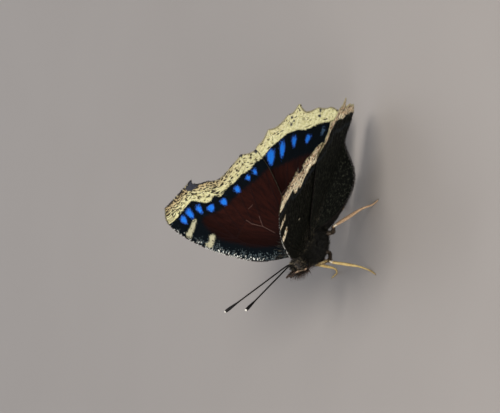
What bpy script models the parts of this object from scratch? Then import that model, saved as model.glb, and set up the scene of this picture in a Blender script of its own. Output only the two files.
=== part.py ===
"""Mourning cloak butterfly, a still life-size model that stands on a flat surface.

Sizes are in millimetres and become metres as each mesh is made. The body has its own
frame: x to the animal's left, y towards the tail, z towards the back, with the origin
midway between the wing hinges. One empty sets that frame head-up over the surface.
A wing has a plane frame too: along (tailward) and out (from hinge to apex).
"""
import math

import bmesh
import bpy
import numpy as np
from mathutils import Matrix, Vector
from mathutils.geometry import delaunay_2d_cdt

MM = 0.001
GAP = 0.3

# Stance
PITCH = math.radians(22.0)
HINGE_HEIGHT = 13.5

# Wings: each stands SPREAD off the upright middle plane
SPREAD = math.radians(55.0)
TWIST = math.radians(4.6)
HINGE_HALF_WIDTH = 2.2
MEMBRANE = 0.5
VEIN_THICKNESS = 0.82

# Forewing bends: a droop along the costa and a turn down towards the apex
COSTA_DROOP = 0.5
COSTA_ALONG = -8.4
DROOP_OUT = 34.0
DROOP_FADE = 5.0
APEX_BEND = 0.55
APEX_BEND_OUT = 24.0
APEX_BEND_RUN = 11.0

# The hindwing lies a layer below the forewing and comes level behind it
LAYER = 1.15
LAYER_ALONG = 17.8
LAYER_RUN = 6.0

# Mesh of a wing: steps along its edges and veins, and the least distances of loose points
# from them, where a share is of the step or of the foot's own width
EDGE_STEP = 2.0
MARGIN_STEP = 1.3
VEIN_STEP = 2.2
VEIN_FOOT = 0.5
FOOT_SHARE = 0.8
FOOT_TO_EDGE = 0.4
FILL_STEP = 2.5
FILL_SHARE = 0.45
FILL_EDGE_SHARE = 0.4
SAME_POINT = 0.02

# The anal flap of the hindwing, which turns down beside the abdomen
FOLD_OUT = 1.3
FOLD_RADIUS = 2.0
FOLD_START = 2.5
FOLD_FULL = 6.5

# Forewing, along and out: the veins end on the margin
FOREWING_COSTA = [(-4.4, -1.2), (-4.9, 1.0), (-6.5, 4.6), (-7.9, 9.5), (-8.35, 16.0),
                  (-8.35, 22.4), (-7.6, 29.0), (-6.3, 34.1), (-4.7, 37.2), (-2.2, 38.7)]
FOREWING_INNER = [(17.3, 20.3), (14.1, 15.3), (9.7, 10.3), (4.0, 5.0), (0.2, 1.4), (-1.2, -1.2)]
FOREWING_TIPS = {"apex": (-2.2, 38.7), "m1": (5.9, 34.8), "m2": (6.9, 30.3), "m3": (8.1, 27.3),
                 "cu1": (11.8, 25.3), "cu2": (15.1, 24.0), "a2": (17.3, 20.3)}
FOREWING_SCALLOPS = [(0.1, 0.5), (1.0, 0.3), (0.3, 0.5), (0.12, 0.5), (0.12, 0.5), (0.3, 0.5)]
FOREWING_VEINS = {
    "sc": [(-3.7, -0.6), (-4.5, 4.0), (-6.3, 11.0), (-7.3, 17.0), (-8.35, 22.4)],
    "r1": [(-4.6, 13.0), (-6.1, 19.0), (-8.0, 26.2)],
    "r3": [(-4.3, 16.6), (-5.6, 24.0), (-6.5, 33.0)],
    "r": [(-3.3, -0.6), (-3.6, 4.0), (-4.6, 13.0), (-4.3, 16.6), (-3.6, 25.0), (-2.2, 38.7)],
    "m1": [(-4.3, 16.6), (-1.3, 24.0), (3.0, 31.0), (5.9, 34.8)],
    "m2": [(-2.2, 16.4), (1.5, 22.6), (6.9, 30.3)],
    "m3": [(0.2, 15.9), (3.6, 21.4), (8.1, 27.3)],
    "cell": [(-4.3, 16.6), (-2.2, 16.4), (0.2, 15.9)],
    "cu": [(-2.6, -0.6), (-1.0, 5.0), (0.0, 10.2), (0.2, 13.4), (0.2, 15.9)],
    "cu1": [(0.2, 13.4), (5.3, 19.3), (11.8, 25.3)],
    "cu2": [(0.0, 10.2), (7.0, 16.8), (15.1, 24.0)],
    "a2": [(-2.0, -0.6), (2.0, 4.6), (9.3, 12.0), (17.3, 20.3)],
}

# Hindwing, along and out
HINDWING_COSTA = [(0.0, -1.2), (0.6, 1.5), (3.6, 8.0), (8.0, 15.0), (11.3, 19.7), (14.1, 21.9)]
HINDWING_INNER = [(31.2, 2.3), (29.2, 1.5), (26.6, 1.3), (24.2, 0.8), (22.3, -0.9), (20.0, -3.3),
                  (17.4, -4.7), (14.0, -5.1), (9.5, -4.3), (6.2, -2.8), (3.4, -1.2)]
HINDWING_TIPS = {"sc": (14.1, 21.9), "rs": (18.6, 20.7), "m1": (22.7, 19.0), "m2": (27.4, 15.2),
                 "m3": (30.7, 13.4), "cu1": (31.0, 8.1), "cu2": (31.9, 4.9), "a2": (31.2, 2.3)}
HINDWING_SCALLOPS = [(0.15, 0.5), (0.4, 0.4), (0.8, 0.4), (0.5, 0.4), (1.6, 0.45), (0.3, 0.5),
                     (0.25, 0.5)]
HINDWING_VEINS = {
    "sc": [(0.8, -0.6), (2.6, 4.2), (7.6, 12.6), (14.1, 21.9)],
    "rs": [(2.6, 4.2), (7.8, 10.2), (12.6, 15.2), (18.6, 20.7)],
    "m1": [(7.8, 10.2), (14.0, 13.6), (22.7, 19.0)],
    "m2": [(10.6, 8.9), (18.0, 11.6), (27.4, 15.2)],
    "cell": [(7.8, 10.2), (10.6, 8.9), (12.4, 6.8)],
    "m3": [(12.4, 6.8), (20.5, 9.6), (30.7, 13.4)],
    "cu": [(1.8, -0.6), (4.6, 3.4), (9.0, 5.3), (12.4, 6.8)],
    "cu1": [(12.4, 6.8), (21.0, 7.2), (31.0, 8.1)],
    "cu2": [(9.0, 5.3), (19.0, 4.8), (31.9, 4.9)],
    "a2": [(2.6, -0.6), (8.0, 1.2), (18.0, 2.2), (31.2, 2.3)],
    "a3": [(5.4, -0.4), (11.0, -1.9), (16.5, -2.3), (20.4, -1.6)],
}

# Body: centre and half sizes across, along and deep, with taper, fullness of the ends and droop
THORAX = dict(centre=(0.0, -0.5, -2.95), half=(2.85, 4.9, 3.6), taper=-0.12, full=0.8, droop=0.0)
ABDOMEN = dict(centre=(0.0, 11.6, -2.9), half=(2.0, 8.0, 2.05), taper=-0.2, full=0.72, droop=0.7)
HEAD = dict(centre=(0.0, -6.5, -1.65), half=(1.55, 1.8, 1.85), taper=0.0, full=0.9, droop=0.0)
EYE_CENTRE = (1.2, -6.7, -1.35)
EYE_HALF = (0.8, 1.15, 1.3)

# Feelers and mouthparts, in the body frame
ANTENNA_ROOT = (0.5, -6.8, -0.3)
ANTENNA_REACH = (5.62, -16.4, 7.9)
ANTENNA_BOW = 0.6
SHAFT_SHARES = (0.0, 0.12, 0.28, 0.44, 0.6, 0.72)
SHAFT_RADIUS = 0.26
SHAFT_STEP = 1.6
CLUB_SHARES = (0.0, 0.45, 0.8, 1.0)
CLUB_RADIUS = 0.45
CLUB_SHARE = 0.19
CLUB_RISE = 0.75
CLUB_END = 0.55
PALP_ROUTE = [((0.8, -5.9, -2.9), 0.4), ((0.95, -6.7, -3.75), 0.55), ((0.95, -7.8, -2.9), 0.6),
              ((0.85, -8.8, -1.5), 0.48), ((0.78, -9.5, -0.4), 0.25)]
PALP_STEP = 0.6
COIL_CENTRE = (0.0, -6.7, -4.1)
COIL_RADIUS = 0.65
COIL_TUBE = 0.27
COIL_SIDES = 8
COIL_STEPS = 20

# The forelegs are folded up along the chest, in the body frame. The walking legs are given as
# (across, along the floor from the hinges, height above the floor), radius.
FORELEG_ROUTE = [((1.0, -3.9, -4.4), 0.4), ((1.45, -3.3, -6.1), 0.42), ((1.6, -2.1, -7.2), 0.38),
                 ((2.0, -1.45, -7.45), 0.36), ((2.45, -2.3, -6.8), 0.33), ((2.6, -3.5, -5.7), 0.3),
                 ((2.45, -4.6, -4.9), 0.26)]
MIDLEG_ROUTE = [((1.0, -2.4, 9.0), 0.6), ((1.9, -2.9, 7.5), 0.55), ((5.0, -5.1, 8.4), 0.38),
                ((6.8, -5.6, 2.1), 0.28), ((8.9, -6.3, 0.6), 0.27), ((12.6, -7.5, 0.2), 0.25)]
HINDLEG_ROUTE = [((1.0, 1.5, 8.6), 0.6), ((2.0, 2.0, 7.2), 0.55), ((5.5, 3.2, 8.4), 0.38),
                 ((6.2, 7.8, 2.2), 0.28), ((8.0, 8.8, 0.6), 0.27), ((10.6, 10.0, 0.2), 0.25)]
LEG_STEP = 0.9
FLOOR_BLOCK = 60.0
JOIN_DISTANCE = 0.01

MATERIALS = {
    "wing_upper": ((0.075, 0.022, 0.026), 0.75),
    "body_fur": ((0.030, 0.024, 0.020), 0.85),
    "eye_brown": ((0.050, 0.030, 0.022), 0.30),
    "feeler_black": ((0.020, 0.018, 0.018), 0.50),
    "leg_tan": ((0.520, 0.390, 0.230), 0.60),
}


def clear_scene():
    for item in list(bpy.data.objects):
        bpy.data.objects.remove(item, do_unlink=True)


def make_materials():
    made = {}
    for name, (colour, roughness) in MATERIALS.items():
        material = bpy.data.materials.new(name)
        material.use_nodes = True
        shader = material.node_tree.nodes["Principled BSDF"]
        shader.inputs["Base Color"].default_value = (*colour, 1.0)
        shader.inputs["Roughness"].default_value = roughness
        shader.inputs["Metallic"].default_value = 0.0
        made[name] = material
    return made


def new_collection(name):
    collection = bpy.data.collections.new(name)
    bpy.context.scene.collection.children.link(collection)
    return collection


def add_object(name, bm, collection, parent, material=None):
    """Finishes a bmesh as an object of the given collection, shaded smooth."""
    mesh = bpy.data.meshes.new(name)
    bm.to_mesh(mesh)
    bm.free()
    mesh.shade_smooth()
    if material:
        mesh.materials.append(material)
    item = bpy.data.objects.new(name, mesh)
    item.parent = parent
    collection.objects.link(item)
    return item


def face_outward(bm):
    if bm.calc_volume(signed=True) < 0:
        bmesh.ops.reverse_faces(bm, faces=bm.faces)


def as_cutter(item):
    item.hide_render = True
    item.display_type = "WIRE"
    return item


def smooth_step(value):
    t = np.clip(value, 0.0, 1.0)
    return t * t * (3.0 - 2.0 * t)


def smooth_path(points, step):
    """Catmull-Rom curve through the points, read about every step."""
    p = np.array(points, dtype=float)
    ends = np.vstack([2 * p[0] - p[1], p, 2 * p[-1] - p[-2]])
    read = []
    for i in range(len(p) - 1):
        before, start, end, after = ends[i:i + 4]
        count = max(1, round(float(np.linalg.norm(end - start)) / step))
        t = (np.arange(count) / count)[:, None]
        read.append(0.5 * (2 * start + (end - before) * t
                           + (2 * before - 5 * start + 4 * end - after) * t ** 2
                           + (3 * start - before - 3 * end + after) * t ** 3))
    return np.vstack(read + [p[-1:]])


def scalloped_margin(tips, scallops):
    """Margin from vein tip to vein tip; each scallop dips (depth, place of the deepest point)."""
    corners = np.array(list(tips.values()))
    read = []
    for start, end, (depth, place) in zip(corners[:-1], corners[1:], scallops):
        chord = end - start
        length = float(np.linalg.norm(chord))
        inward = np.array([-chord[1], chord[0]]) / length
        if inward[1] > 0:
            inward = -inward
        count = max(3, round(length / MARGIN_STEP))
        t = (np.arange(count) / count)[:, None]
        bend = np.sin(math.pi * t ** (math.log(0.5) / math.log(place)))
        read.append(start + chord * t + inward * depth * bend)
    return np.vstack(read + [corners[-1:]])


def segment_distance(points, line):
    """Least distance from each point to a polyline."""
    start = line[:-1][None]
    run = (line[1:] - line[:-1])[None]
    rel = points[:, None] - start
    t = np.clip((rel * run).sum(-1) / (run * run).sum(-1), 0.0, 1.0)
    return np.linalg.norm(rel - t[..., None] * run, axis=-1).min(axis=1)


def inside(points, ring):
    """Even-odd test of the points against a closed ring."""
    x, y = points[:, 0:1], points[:, 1:2]
    x0, y0 = ring[:, 0][None], ring[:, 1][None]
    x1, y1 = np.roll(ring[:, 0], -1)[None], np.roll(ring[:, 1], -1)[None]
    crosses = (y0 > y) != (y1 > y)
    height = np.where(crosses, y1 - y0, 1.0)
    return (crosses & (x < x0 + (x1 - x0) * (y - y0) / height)).sum(axis=1) % 2 == 1


def fill_points(ring, step):
    """Points of a staggered grid over the ring's box."""
    low, high = ring.min(axis=0), ring.max(axis=0)
    rows = np.arange(low[1], high[1], step * math.sqrt(3) / 2)
    columns = np.arange(low[0], high[0], step)
    across, up = np.meshgrid(columns, rows)
    across = across + (np.arange(len(rows)) % 2)[:, None] * step / 2
    return np.column_stack([across.ravel(), up.ravel()])


def wing_triangles(ring, veins):
    """Triangles of the planform, with every vein along their edges; weight 1 on the veins."""
    paths = [smooth_path(line, VEIN_STEP) for line in veins.values()]
    points = [ring]
    edges = []
    crest = []
    total = len(ring)
    for path in paths:
        points.append(path)
        edges += [(total + i, total + i + 1) for i in range(len(path) - 1)]
        crest += range(total, total + len(path))
        total += len(path)
    feet = []
    for path in paths:
        run = np.gradient(path, axis=0)
        side = np.column_stack([-run[:, 1], run[:, 0]]) / np.linalg.norm(run, axis=1)[:, None]
        feet += [path + VEIN_FOOT * side, path - VEIN_FOOT * side]
    closed = np.vstack([ring, ring[:1]])
    feet = np.vstack(feet)
    vein_distance = np.min([segment_distance(feet, path) for path in paths], axis=0)
    near = (vein_distance > FOOT_SHARE * VEIN_FOOT) & (segment_distance(feet, closed) > FOOT_TO_EDGE)
    feet = feet[near & inside(feet, ring)]
    grid = fill_points(ring, FILL_STEP)
    grid_distance = np.min([segment_distance(grid, path) for path in paths], axis=0)
    edge_distance = segment_distance(grid, closed)
    clear = (grid_distance > FILL_SHARE * FILL_STEP) & (edge_distance > FILL_EDGE_SHARE * FILL_STEP)
    grid = grid[clear & inside(grid, ring)]
    everything = np.vstack(points + [feet, grid])
    found = delaunay_2d_cdt([Vector(p) for p in everything], edges,
                            [list(range(len(ring)))], 1, SAME_POINT)
    flat = np.array([tuple(v) for v in found[0]])
    raised = set(crest)
    weight = np.array([1.0 if raised & set(source) else 0.0 for source in found[3]])
    return flat, found[2], weight


def forewing_lift(along, out):
    """Height off the wing plane: drooped along the costa and bent down towards the apex."""
    arch = np.sin(math.pi * np.clip(out / DROOP_OUT, 0, 1))
    droop = COSTA_DROOP * arch * np.exp((COSTA_ALONG - along) / DROOP_FADE)
    return -droop - APEX_BEND * smooth_step((out - APEX_BEND_OUT) / APEX_BEND_RUN)


def hindwing_lift(along, out):
    """Height off the wing plane, the same at any distance out."""
    return LAYER * (smooth_step((along - LAYER_ALONG) / LAYER_RUN) - 1.0) * np.ones_like(out)


def wing_place(along, out, lift, side, folds):
    """Body-frame points of the wing; a folding wing curls down inside FOLD_OUT."""
    turn_full = SPREAD * smooth_step((along - FOLD_START) / (FOLD_FULL - FOLD_START)) * folds
    past = np.clip(FOLD_OUT - out, 0.0, None)
    turn = np.minimum(past / FOLD_RADIUS, turn_full)
    straight = past - turn * FOLD_RADIUS
    reach = FOLD_RADIUS * np.sin(turn) + straight * np.cos(turn)
    drop = FOLD_RADIUS * (1 - np.cos(turn)) + straight * np.sin(turn)
    flat_out = np.maximum(out, FOLD_OUT) - reach
    flat_lift = lift - drop
    across = side * (HINGE_HALF_WIDTH + flat_out * math.sin(SPREAD) - flat_lift * math.cos(SPREAD))
    tailward = along * math.cos(TWIST)
    upward = along * math.sin(TWIST) + flat_out * math.cos(SPREAD) + flat_lift * math.sin(SPREAD)
    return np.column_stack([across, tailward, upward])


def make_wing(name, side, outline, veins, lift_of, folds, collection, stance, material):
    """One membrane with its veins raised on both faces."""
    flat, faces, weight = wing_triangles(outline, veins)
    along, out = flat[:, 0], flat[:, 1]
    places = wing_place(along, out, lift_of(along, out), side, folds)
    bm = bmesh.new()
    corners = [bm.verts.new(Vector(place) * MM) for place in places]
    for face in faces:
        order = face if side > 0 else reversed(face)
        bm.faces.new([corners[i] for i in order])
    wing = add_object(name, bm, collection, stance, material)
    group = wing.vertex_groups.new(name="veins")
    for index, value in enumerate(weight):
        group.add([index], float(value), "REPLACE")
    thick = wing.modifiers.new("membrane", "SOLIDIFY")
    thick.thickness = VEIN_THICKNESS * MM
    thick.offset = 0.0
    thick.vertex_group = group.name
    thick.thickness_vertex_group = MEMBRANE / VEIN_THICKNESS
    return wing


def make_egg(name, form, grow, collection, stance, material=None, rings=20, sides=24):
    """Round body piece from a sphere: tapered, with full ends, its middle drooped."""
    bm = bmesh.new()
    bmesh.ops.create_uvsphere(bm, u_segments=sides, v_segments=rings, radius=1.0)
    centre = form["centre"]
    half = [size + grow for size in form["half"]]
    for vert in bm.verts:
        x, y, z = vert.co
        ring = math.hypot(x, y)
        swell = (1 + form["taper"] * z) * (ring ** (form["full"] - 1) if ring > 1e-6 else 1.0)
        across = centre[0] + half[0] * x * swell
        along = centre[1] + half[1] * z
        deep = centre[2] - half[2] * y * swell - form["droop"] * (1 - z * z)
        vert.co = Vector((across, along, deep)) * MM
    return add_object(name, bm, collection, stance, material)


def make_eye(name, side, grow, collection, stance, material=None):
    form = dict(centre=(side * EYE_CENTRE[0], EYE_CENTRE[1], EYE_CENTRE[2]), half=EYE_HALF,
                taper=0.0, full=1.0, droop=0.0)
    return make_egg(name, form, grow, collection, stance, material, rings=12, sides=16)


def make_tube(name, route, collection, parent, material, step, sides_level=2):
    """Tube with a radius at each point of a smooth path, its ends capped."""
    stations = smooth_path([(*place, radius) for place, radius in route], step)
    curve = bpy.data.curves.new(name, "CURVE")
    curve.dimensions = "3D"
    curve.bevel_depth = MM
    curve.bevel_resolution = sides_level
    curve.use_fill_caps = True
    spline = curve.splines.new("POLY")
    spline.points.add(len(stations) - 1)
    for point, (x, y, z, radius) in zip(spline.points, stations):
        point.co = (x * MM, y * MM, z * MM, 1.0)
        point.radius = radius
    carrier = bpy.data.objects.new(name + "_path", curve)
    carrier.parent = parent
    collection.objects.link(carrier)
    bpy.context.view_layer.update()
    graph = bpy.context.evaluated_depsgraph_get()
    mesh = bpy.data.meshes.new_from_object(carrier.evaluated_get(graph))
    bm = bmesh.new()
    bm.from_mesh(mesh)
    bmesh.ops.remove_doubles(bm, verts=bm.verts, dist=JOIN_DISTANCE * MM)
    face_outward(bm)
    bpy.data.objects.remove(carrier, do_unlink=True)
    bpy.data.meshes.remove(mesh)
    return add_object(name, bm, collection, parent, material)


def mirrored(route, side):
    return [((side * place[0], place[1], place[2]), radius) for place, radius in route]


def antenna_route(side):
    """Slender shaft that bows slightly and ends in a club with a blunt tip."""
    root = np.array(ANTENNA_ROOT)
    reach = np.array(ANTENNA_REACH)
    route = []
    for t in (*SHAFT_SHARES, *(1 - CLUB_SHARE * (1 - share) for share in CLUB_SHARES)):
        place = root + reach * t
        place[2] += ANTENNA_BOW * math.sin(math.pi * t)
        club = smooth_step((t - 1 + CLUB_SHARE) / (CLUB_RISE * CLUB_SHARE))
        radius = SHAFT_RADIUS + (CLUB_RADIUS - SHAFT_RADIUS) * float(club)
        route.append((tuple(place), radius))
    route[-1] = (route[-1][0], CLUB_END * CLUB_RADIUS)
    return mirrored(route, side)


def make_coil(collection, stance, material):
    """Coiled tongue under the head, as a turned ring that stands in the middle plane."""
    bm = bmesh.new()
    bmesh.ops.create_circle(bm, segments=COIL_SIDES, radius=COIL_TUBE * MM,
                            matrix=Matrix.Translation((0, COIL_RADIUS * MM, 0)))
    bmesh.ops.spin(bm, geom=bm.verts[:] + bm.edges[:], cent=(0, 0, 0), axis=(1, 0, 0),
                   angle=math.tau, steps=COIL_STEPS, use_merge=True)
    bmesh.ops.remove_doubles(bm, verts=bm.verts, dist=JOIN_DISTANCE * MM)
    bmesh.ops.translate(bm, verts=bm.verts, vec=Vector(COIL_CENTRE) * MM)
    face_outward(bm)
    return add_object("proboscis", bm, collection, stance, material)


def cut(item, cutter):
    """Adds a modifier that takes the cutter out of the item."""
    modifier = item.modifiers.new("cut_" + cutter.name, "BOOLEAN")
    modifier.operation = "DIFFERENCE"
    modifier.object = cutter


def bake_cuts(item):
    """Applies the modifiers and drops every scrap but the largest closed surface."""
    bpy.context.view_layer.update()
    graph = bpy.context.evaluated_depsgraph_get()
    mesh = bpy.data.meshes.new_from_object(item.evaluated_get(graph))
    item.modifiers.clear()
    bm = bmesh.new()
    bm.from_mesh(mesh)
    unseen = set(bm.verts)
    islands = []
    while unseen:
        island = set()
        front = [unseen.pop()]
        while front:
            vert = front.pop()
            island.add(vert)
            for edge in vert.link_edges:
                other = edge.other_vert(vert)
                if other in unseen:
                    unseen.remove(other)
                    front.append(other)
        islands.append(island)
    islands.sort(key=len)
    for scrap in islands[:-1]:
        bmesh.ops.delete(bm, geom=list(scrap), context="VERTS")
    bm.to_mesh(mesh)
    bm.free()
    item.data = mesh


def floor_cutter(collection, ground):
    """Block whose top face is the floor."""
    bm = bmesh.new()
    side = FLOOR_BLOCK * MM
    bmesh.ops.create_cube(bm, size=side, matrix=Matrix.Translation((0, 0, -side / 2)))
    return as_cutter(add_object("floor_block", bm, collection, ground))


def centre_over_origin(items, empties):
    """Moves both frames so that the whole model's box is centred over the origin."""
    bpy.context.view_layer.update()
    graph = bpy.context.evaluated_depsgraph_get()
    along = []
    for item in items:
        seen = item.evaluated_get(graph)
        along += [(seen.matrix_world @ vert.co).y for vert in seen.data.vertices]
    middle = (min(along) + max(along)) / 2
    for empty in empties:
        empty.location.y -= middle


def build():
    clear_scene()
    paint = make_materials()
    parts = new_collection("mourning_cloak_butterfly")
    cutters = new_collection("cutters")

    ground = bpy.data.objects.new("ground_frame", None)
    stance = bpy.data.objects.new("body_frame", None)
    stance.location = (0.0, 0.0, HINGE_HEIGHT * MM)
    stance.rotation_euler = (-PITCH, 0.0, 0.0)
    for empty in (ground, stance):
        parts.objects.link(empty)

    thorax_cut = as_cutter(make_egg("thorax_cutter", THORAX, GAP, cutters, stance))
    head_cut = as_cutter(make_egg("head_cutter", HEAD, GAP, cutters, stance))
    floor_cut = floor_cutter(cutters, ground)

    make_egg("thorax", THORAX, 0.0, parts, stance, paint["body_fur"])
    abdomen = make_egg("abdomen", ABDOMEN, 0.0, parts, stance, paint["body_fur"])
    cut(abdomen, thorax_cut)
    head = make_egg("head", HEAD, 0.0, parts, stance, paint["body_fur"], rings=16, sides=24)
    cut(head, thorax_cut)
    coil = make_coil(parts, stance, paint["feeler_black"])
    cut(coil, head_cut)
    finished = [abdomen, head, coil]

    forewing = np.vstack([smooth_path(FOREWING_COSTA, EDGE_STEP)[:-1],
                          scalloped_margin(FOREWING_TIPS, FOREWING_SCALLOPS)[:-1],
                          smooth_path(FOREWING_INNER, EDGE_STEP)])
    hindwing = np.vstack([smooth_path(HINDWING_COSTA, EDGE_STEP)[:-1],
                          scalloped_margin(HINDWING_TIPS, HINDWING_SCALLOPS)[:-1],
                          smooth_path(HINDWING_INNER, EDGE_STEP)])
    for side, label in ((1, "left"), (-1, "right")):
        eye_cut = as_cutter(make_eye("eye_cutter_" + label, side, GAP, cutters, stance))
        cut(head, eye_cut)
        make_eye("eye_" + label, side, 0.0, parts, stance, paint["eye_brown"])
        fore = make_wing("forewing_" + label, side, forewing, FOREWING_VEINS, forewing_lift,
                         0.0, parts, stance, paint["wing_upper"])
        hind = make_wing("hindwing_" + label, side, hindwing, HINDWING_VEINS, hindwing_lift,
                         1.0, parts, stance, paint["wing_upper"])
        antenna = make_tube("antenna_" + label, antenna_route(side), parts, stance,
                            paint["feeler_black"], SHAFT_STEP)
        palp = make_tube("palp_" + label, mirrored(PALP_ROUTE, side), parts, stance,
                         paint["body_fur"], PALP_STEP)
        foreleg = make_tube("foreleg_" + label, mirrored(FORELEG_ROUTE, side), parts, stance,
                            paint["leg_tan"], LEG_STEP)
        midleg = make_tube("midleg_" + label, mirrored(MIDLEG_ROUTE, side), parts, ground,
                           paint["leg_tan"], LEG_STEP)
        hindleg = make_tube("hindleg_" + label, mirrored(HINDLEG_ROUTE, side), parts, ground,
                            paint["leg_tan"], LEG_STEP)
        for item in (fore, hind, foreleg, midleg, hindleg):
            cut(item, thorax_cut)
        for item in (antenna, palp):
            cut(item, head_cut)
            cut(item, eye_cut)
        for item in (midleg, hindleg):
            cut(item, floor_cut)
        finished += [fore, hind, antenna, palp, foreleg, midleg, hindleg]

    for item in finished:
        bake_cuts(item)
    centre_over_origin([item for item in parts.objects if item.type == "MESH"], [ground, stance])


build()
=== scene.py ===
"""Mourning cloak butterfly at life size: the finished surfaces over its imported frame.

Lengths are in millimetres until a mesh is made. The body has its own axes, measured from the
middle of the wing hinges: across (to the animal's left), along (tailward) and up (towards the
back). A wing has a plane of its own: along (tailward) and out (from the hinge to the apex).
"""
import math

import bpy
import numpy as np
from mathutils import Matrix, Vector


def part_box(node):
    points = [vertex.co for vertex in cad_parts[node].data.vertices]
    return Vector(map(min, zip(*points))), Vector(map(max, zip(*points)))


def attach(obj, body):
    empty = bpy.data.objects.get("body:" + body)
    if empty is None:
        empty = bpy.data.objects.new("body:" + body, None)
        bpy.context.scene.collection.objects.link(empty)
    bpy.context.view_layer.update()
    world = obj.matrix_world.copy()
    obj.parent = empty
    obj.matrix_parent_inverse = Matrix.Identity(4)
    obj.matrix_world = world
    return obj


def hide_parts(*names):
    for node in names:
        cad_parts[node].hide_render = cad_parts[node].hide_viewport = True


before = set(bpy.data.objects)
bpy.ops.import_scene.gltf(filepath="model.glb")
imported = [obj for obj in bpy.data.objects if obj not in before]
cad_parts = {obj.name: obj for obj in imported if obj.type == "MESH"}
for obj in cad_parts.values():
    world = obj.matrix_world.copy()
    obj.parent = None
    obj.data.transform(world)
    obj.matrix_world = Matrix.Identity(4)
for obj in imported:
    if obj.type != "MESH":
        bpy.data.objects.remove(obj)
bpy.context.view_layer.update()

# Stance. The animal stands on its four walking legs, pitched up towards the head, and every
# piece of the body is placed from the middle of the wing hinges. That point is found from the
# thorax's own box in the frame.
MM = 0.001
PITCH = math.radians(22.0)
THORAX = dict(centre=(0.0, -0.5, -2.95), half=(2.85, 4.9, 3.6), taper=-0.12, full=0.8, droop=0.0)
THORAX_MESH = (41, 48)
SIDES = ((1, "left"), (-1, "right"))


def egg(form, stations, sides):
    """Egg: round sections along its length. Section radius is the circle's own width at that
    station raised to `full`, times 1 plus `taper` times the station; the middle line sags by
    `droop` times 1 less the station squared. Returns (station, side, xyz)."""
    t = -np.cos(np.linspace(0.0, math.pi, stations))[:, None]
    turn = np.linspace(0.0, math.tau, sides, endpoint=False)[None]
    ring = (1 + form["taper"] * t) * np.sqrt(np.clip(1 - t * t, 1e-8, None)) ** form["full"]
    centre, half = form["centre"], form["half"]
    level = centre[2] - form["droop"] * (1 - t * t)
    return np.stack([centre[0] + half[0] * ring * np.sin(turn),
                     centre[1] + half[1] * t + 0 * turn, level + half[2] * ring * np.cos(turn)],
                    axis=-1)


def tilted(vectors):
    """Body axes to floor axes: a turn by the pitch about the line across the body."""
    across, along, up = np.moveaxis(np.asarray(vectors, dtype=float), -1, 0)
    return np.stack([across, along * math.cos(PITCH) + up * math.sin(PITCH),
                     up * math.cos(PITCH) - along * math.sin(PITCH)], axis=-1)


def middle(low, high):
    return (np.array(low) + np.array(high)) / 2


thorax_points = tilted(egg(THORAX, *THORAX_MESH)).reshape(-1, 3)
HINGE = middle(*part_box("thorax")) / MM - middle(thorax_points.min(0), thorax_points.max(0))


def stand(points):
    """Body points to places over the floor, in millimetres."""
    return tilted(points) + HINGE


# Floor, lamps and camera. A matt pale floor, one broad soft lamp high on the camera's side, a
# weaker one from behind and an even surround. The camera looks from the animal's left and a
# little above, rolled so that the tail points up in the picture.
FLOOR_SIZE = 2.4
FLOOR_TONES = ((0.375, 0.345, 0.325), (0.40, 0.37, 0.35))
AZIMUTH = math.radians(85.0)
ELEVATION = math.radians(23.1)
ROLL = math.radians(-83.4)
LENS = 600.0
PICTURE_WIDTH = 115.74
TARGET_RIGHT = -12.38
TARGET_UP = 7.36
SURROUND = (0.86, 0.90, 1.0, 1.0)
SURROUND_STRENGTH = 0.33
LAMPS = {
    "lamp_key": dict(place=(0.50, 0.28, 0.78), size=0.55, energy=5.5, color=(1.0, 0.95, 0.87)),
    "lamp_fill": dict(place=(0.80, -0.35, 0.16), size=0.50, energy=7.0, color=(1.0, 0.97, 0.93)),
    "lamp_back": dict(place=(-0.70, 0.10, 0.45), size=0.60, energy=1.8, color=(0.92, 0.96, 1.0)),
}

floor_mesh = bpy.data.meshes.new("floor")
floor_mesh.from_pydata([(x * FLOOR_SIZE / 2, y * FLOOR_SIZE / 2, 0.0)
                        for x, y in ((-1, -1), (1, -1), (1, 1), (-1, 1))], [], [(0, 1, 2, 3)])
floor = bpy.data.objects.new("floor", floor_mesh)
bpy.context.scene.collection.objects.link(floor)

back = Vector((math.sin(AZIMUTH) * math.cos(ELEVATION), -math.cos(AZIMUTH) * math.cos(ELEVATION),
               math.sin(ELEVATION)))
turn = (-back).to_track_quat("-Z", "Y").to_matrix() @ Matrix.Rotation(ROLL, 3, "Z")
target = (Vector(HINGE) + TARGET_RIGHT * turn.col[0] + TARGET_UP * turn.col[1]) * MM
camera_data = bpy.data.cameras.new("camera")
camera_data.lens = LENS
camera_data.clip_start = 0.05
camera_data.clip_end = 20.0
distance = PICTURE_WIDTH * MM * LENS / camera_data.sensor_width
camera = bpy.data.objects.new("camera", camera_data)
camera.matrix_world = Matrix.Translation(target + back * distance) @ turn.to_4x4()
bpy.context.scene.collection.objects.link(camera)
bpy.context.scene.camera = camera

for lamp_name, lamp_row in LAMPS.items():
    lamp_data = bpy.data.lights.new(lamp_name, "AREA")
    lamp_data.shape = "DISK"
    for setting in ("size", "energy", "color"):
        setattr(lamp_data, setting, lamp_row[setting])
    lamp = bpy.data.objects.new(lamp_name, lamp_data)
    lamp.location = lamp_row["place"]
    lamp.rotation_euler = (-lamp.location).to_track_quat("-Z", "Y").to_euler()
    bpy.context.scene.collection.objects.link(lamp)

world = bpy.data.worlds.new("surround")
world.use_nodes = True
world.node_tree.nodes["Background"].inputs["Color"].default_value = SURROUND
world.node_tree.nodes["Background"].inputs["Strength"].default_value = SURROUND_STRENGTH
bpy.context.scene.world = world
bpy.context.scene.view_settings.view_transform = "Standard"


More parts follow.
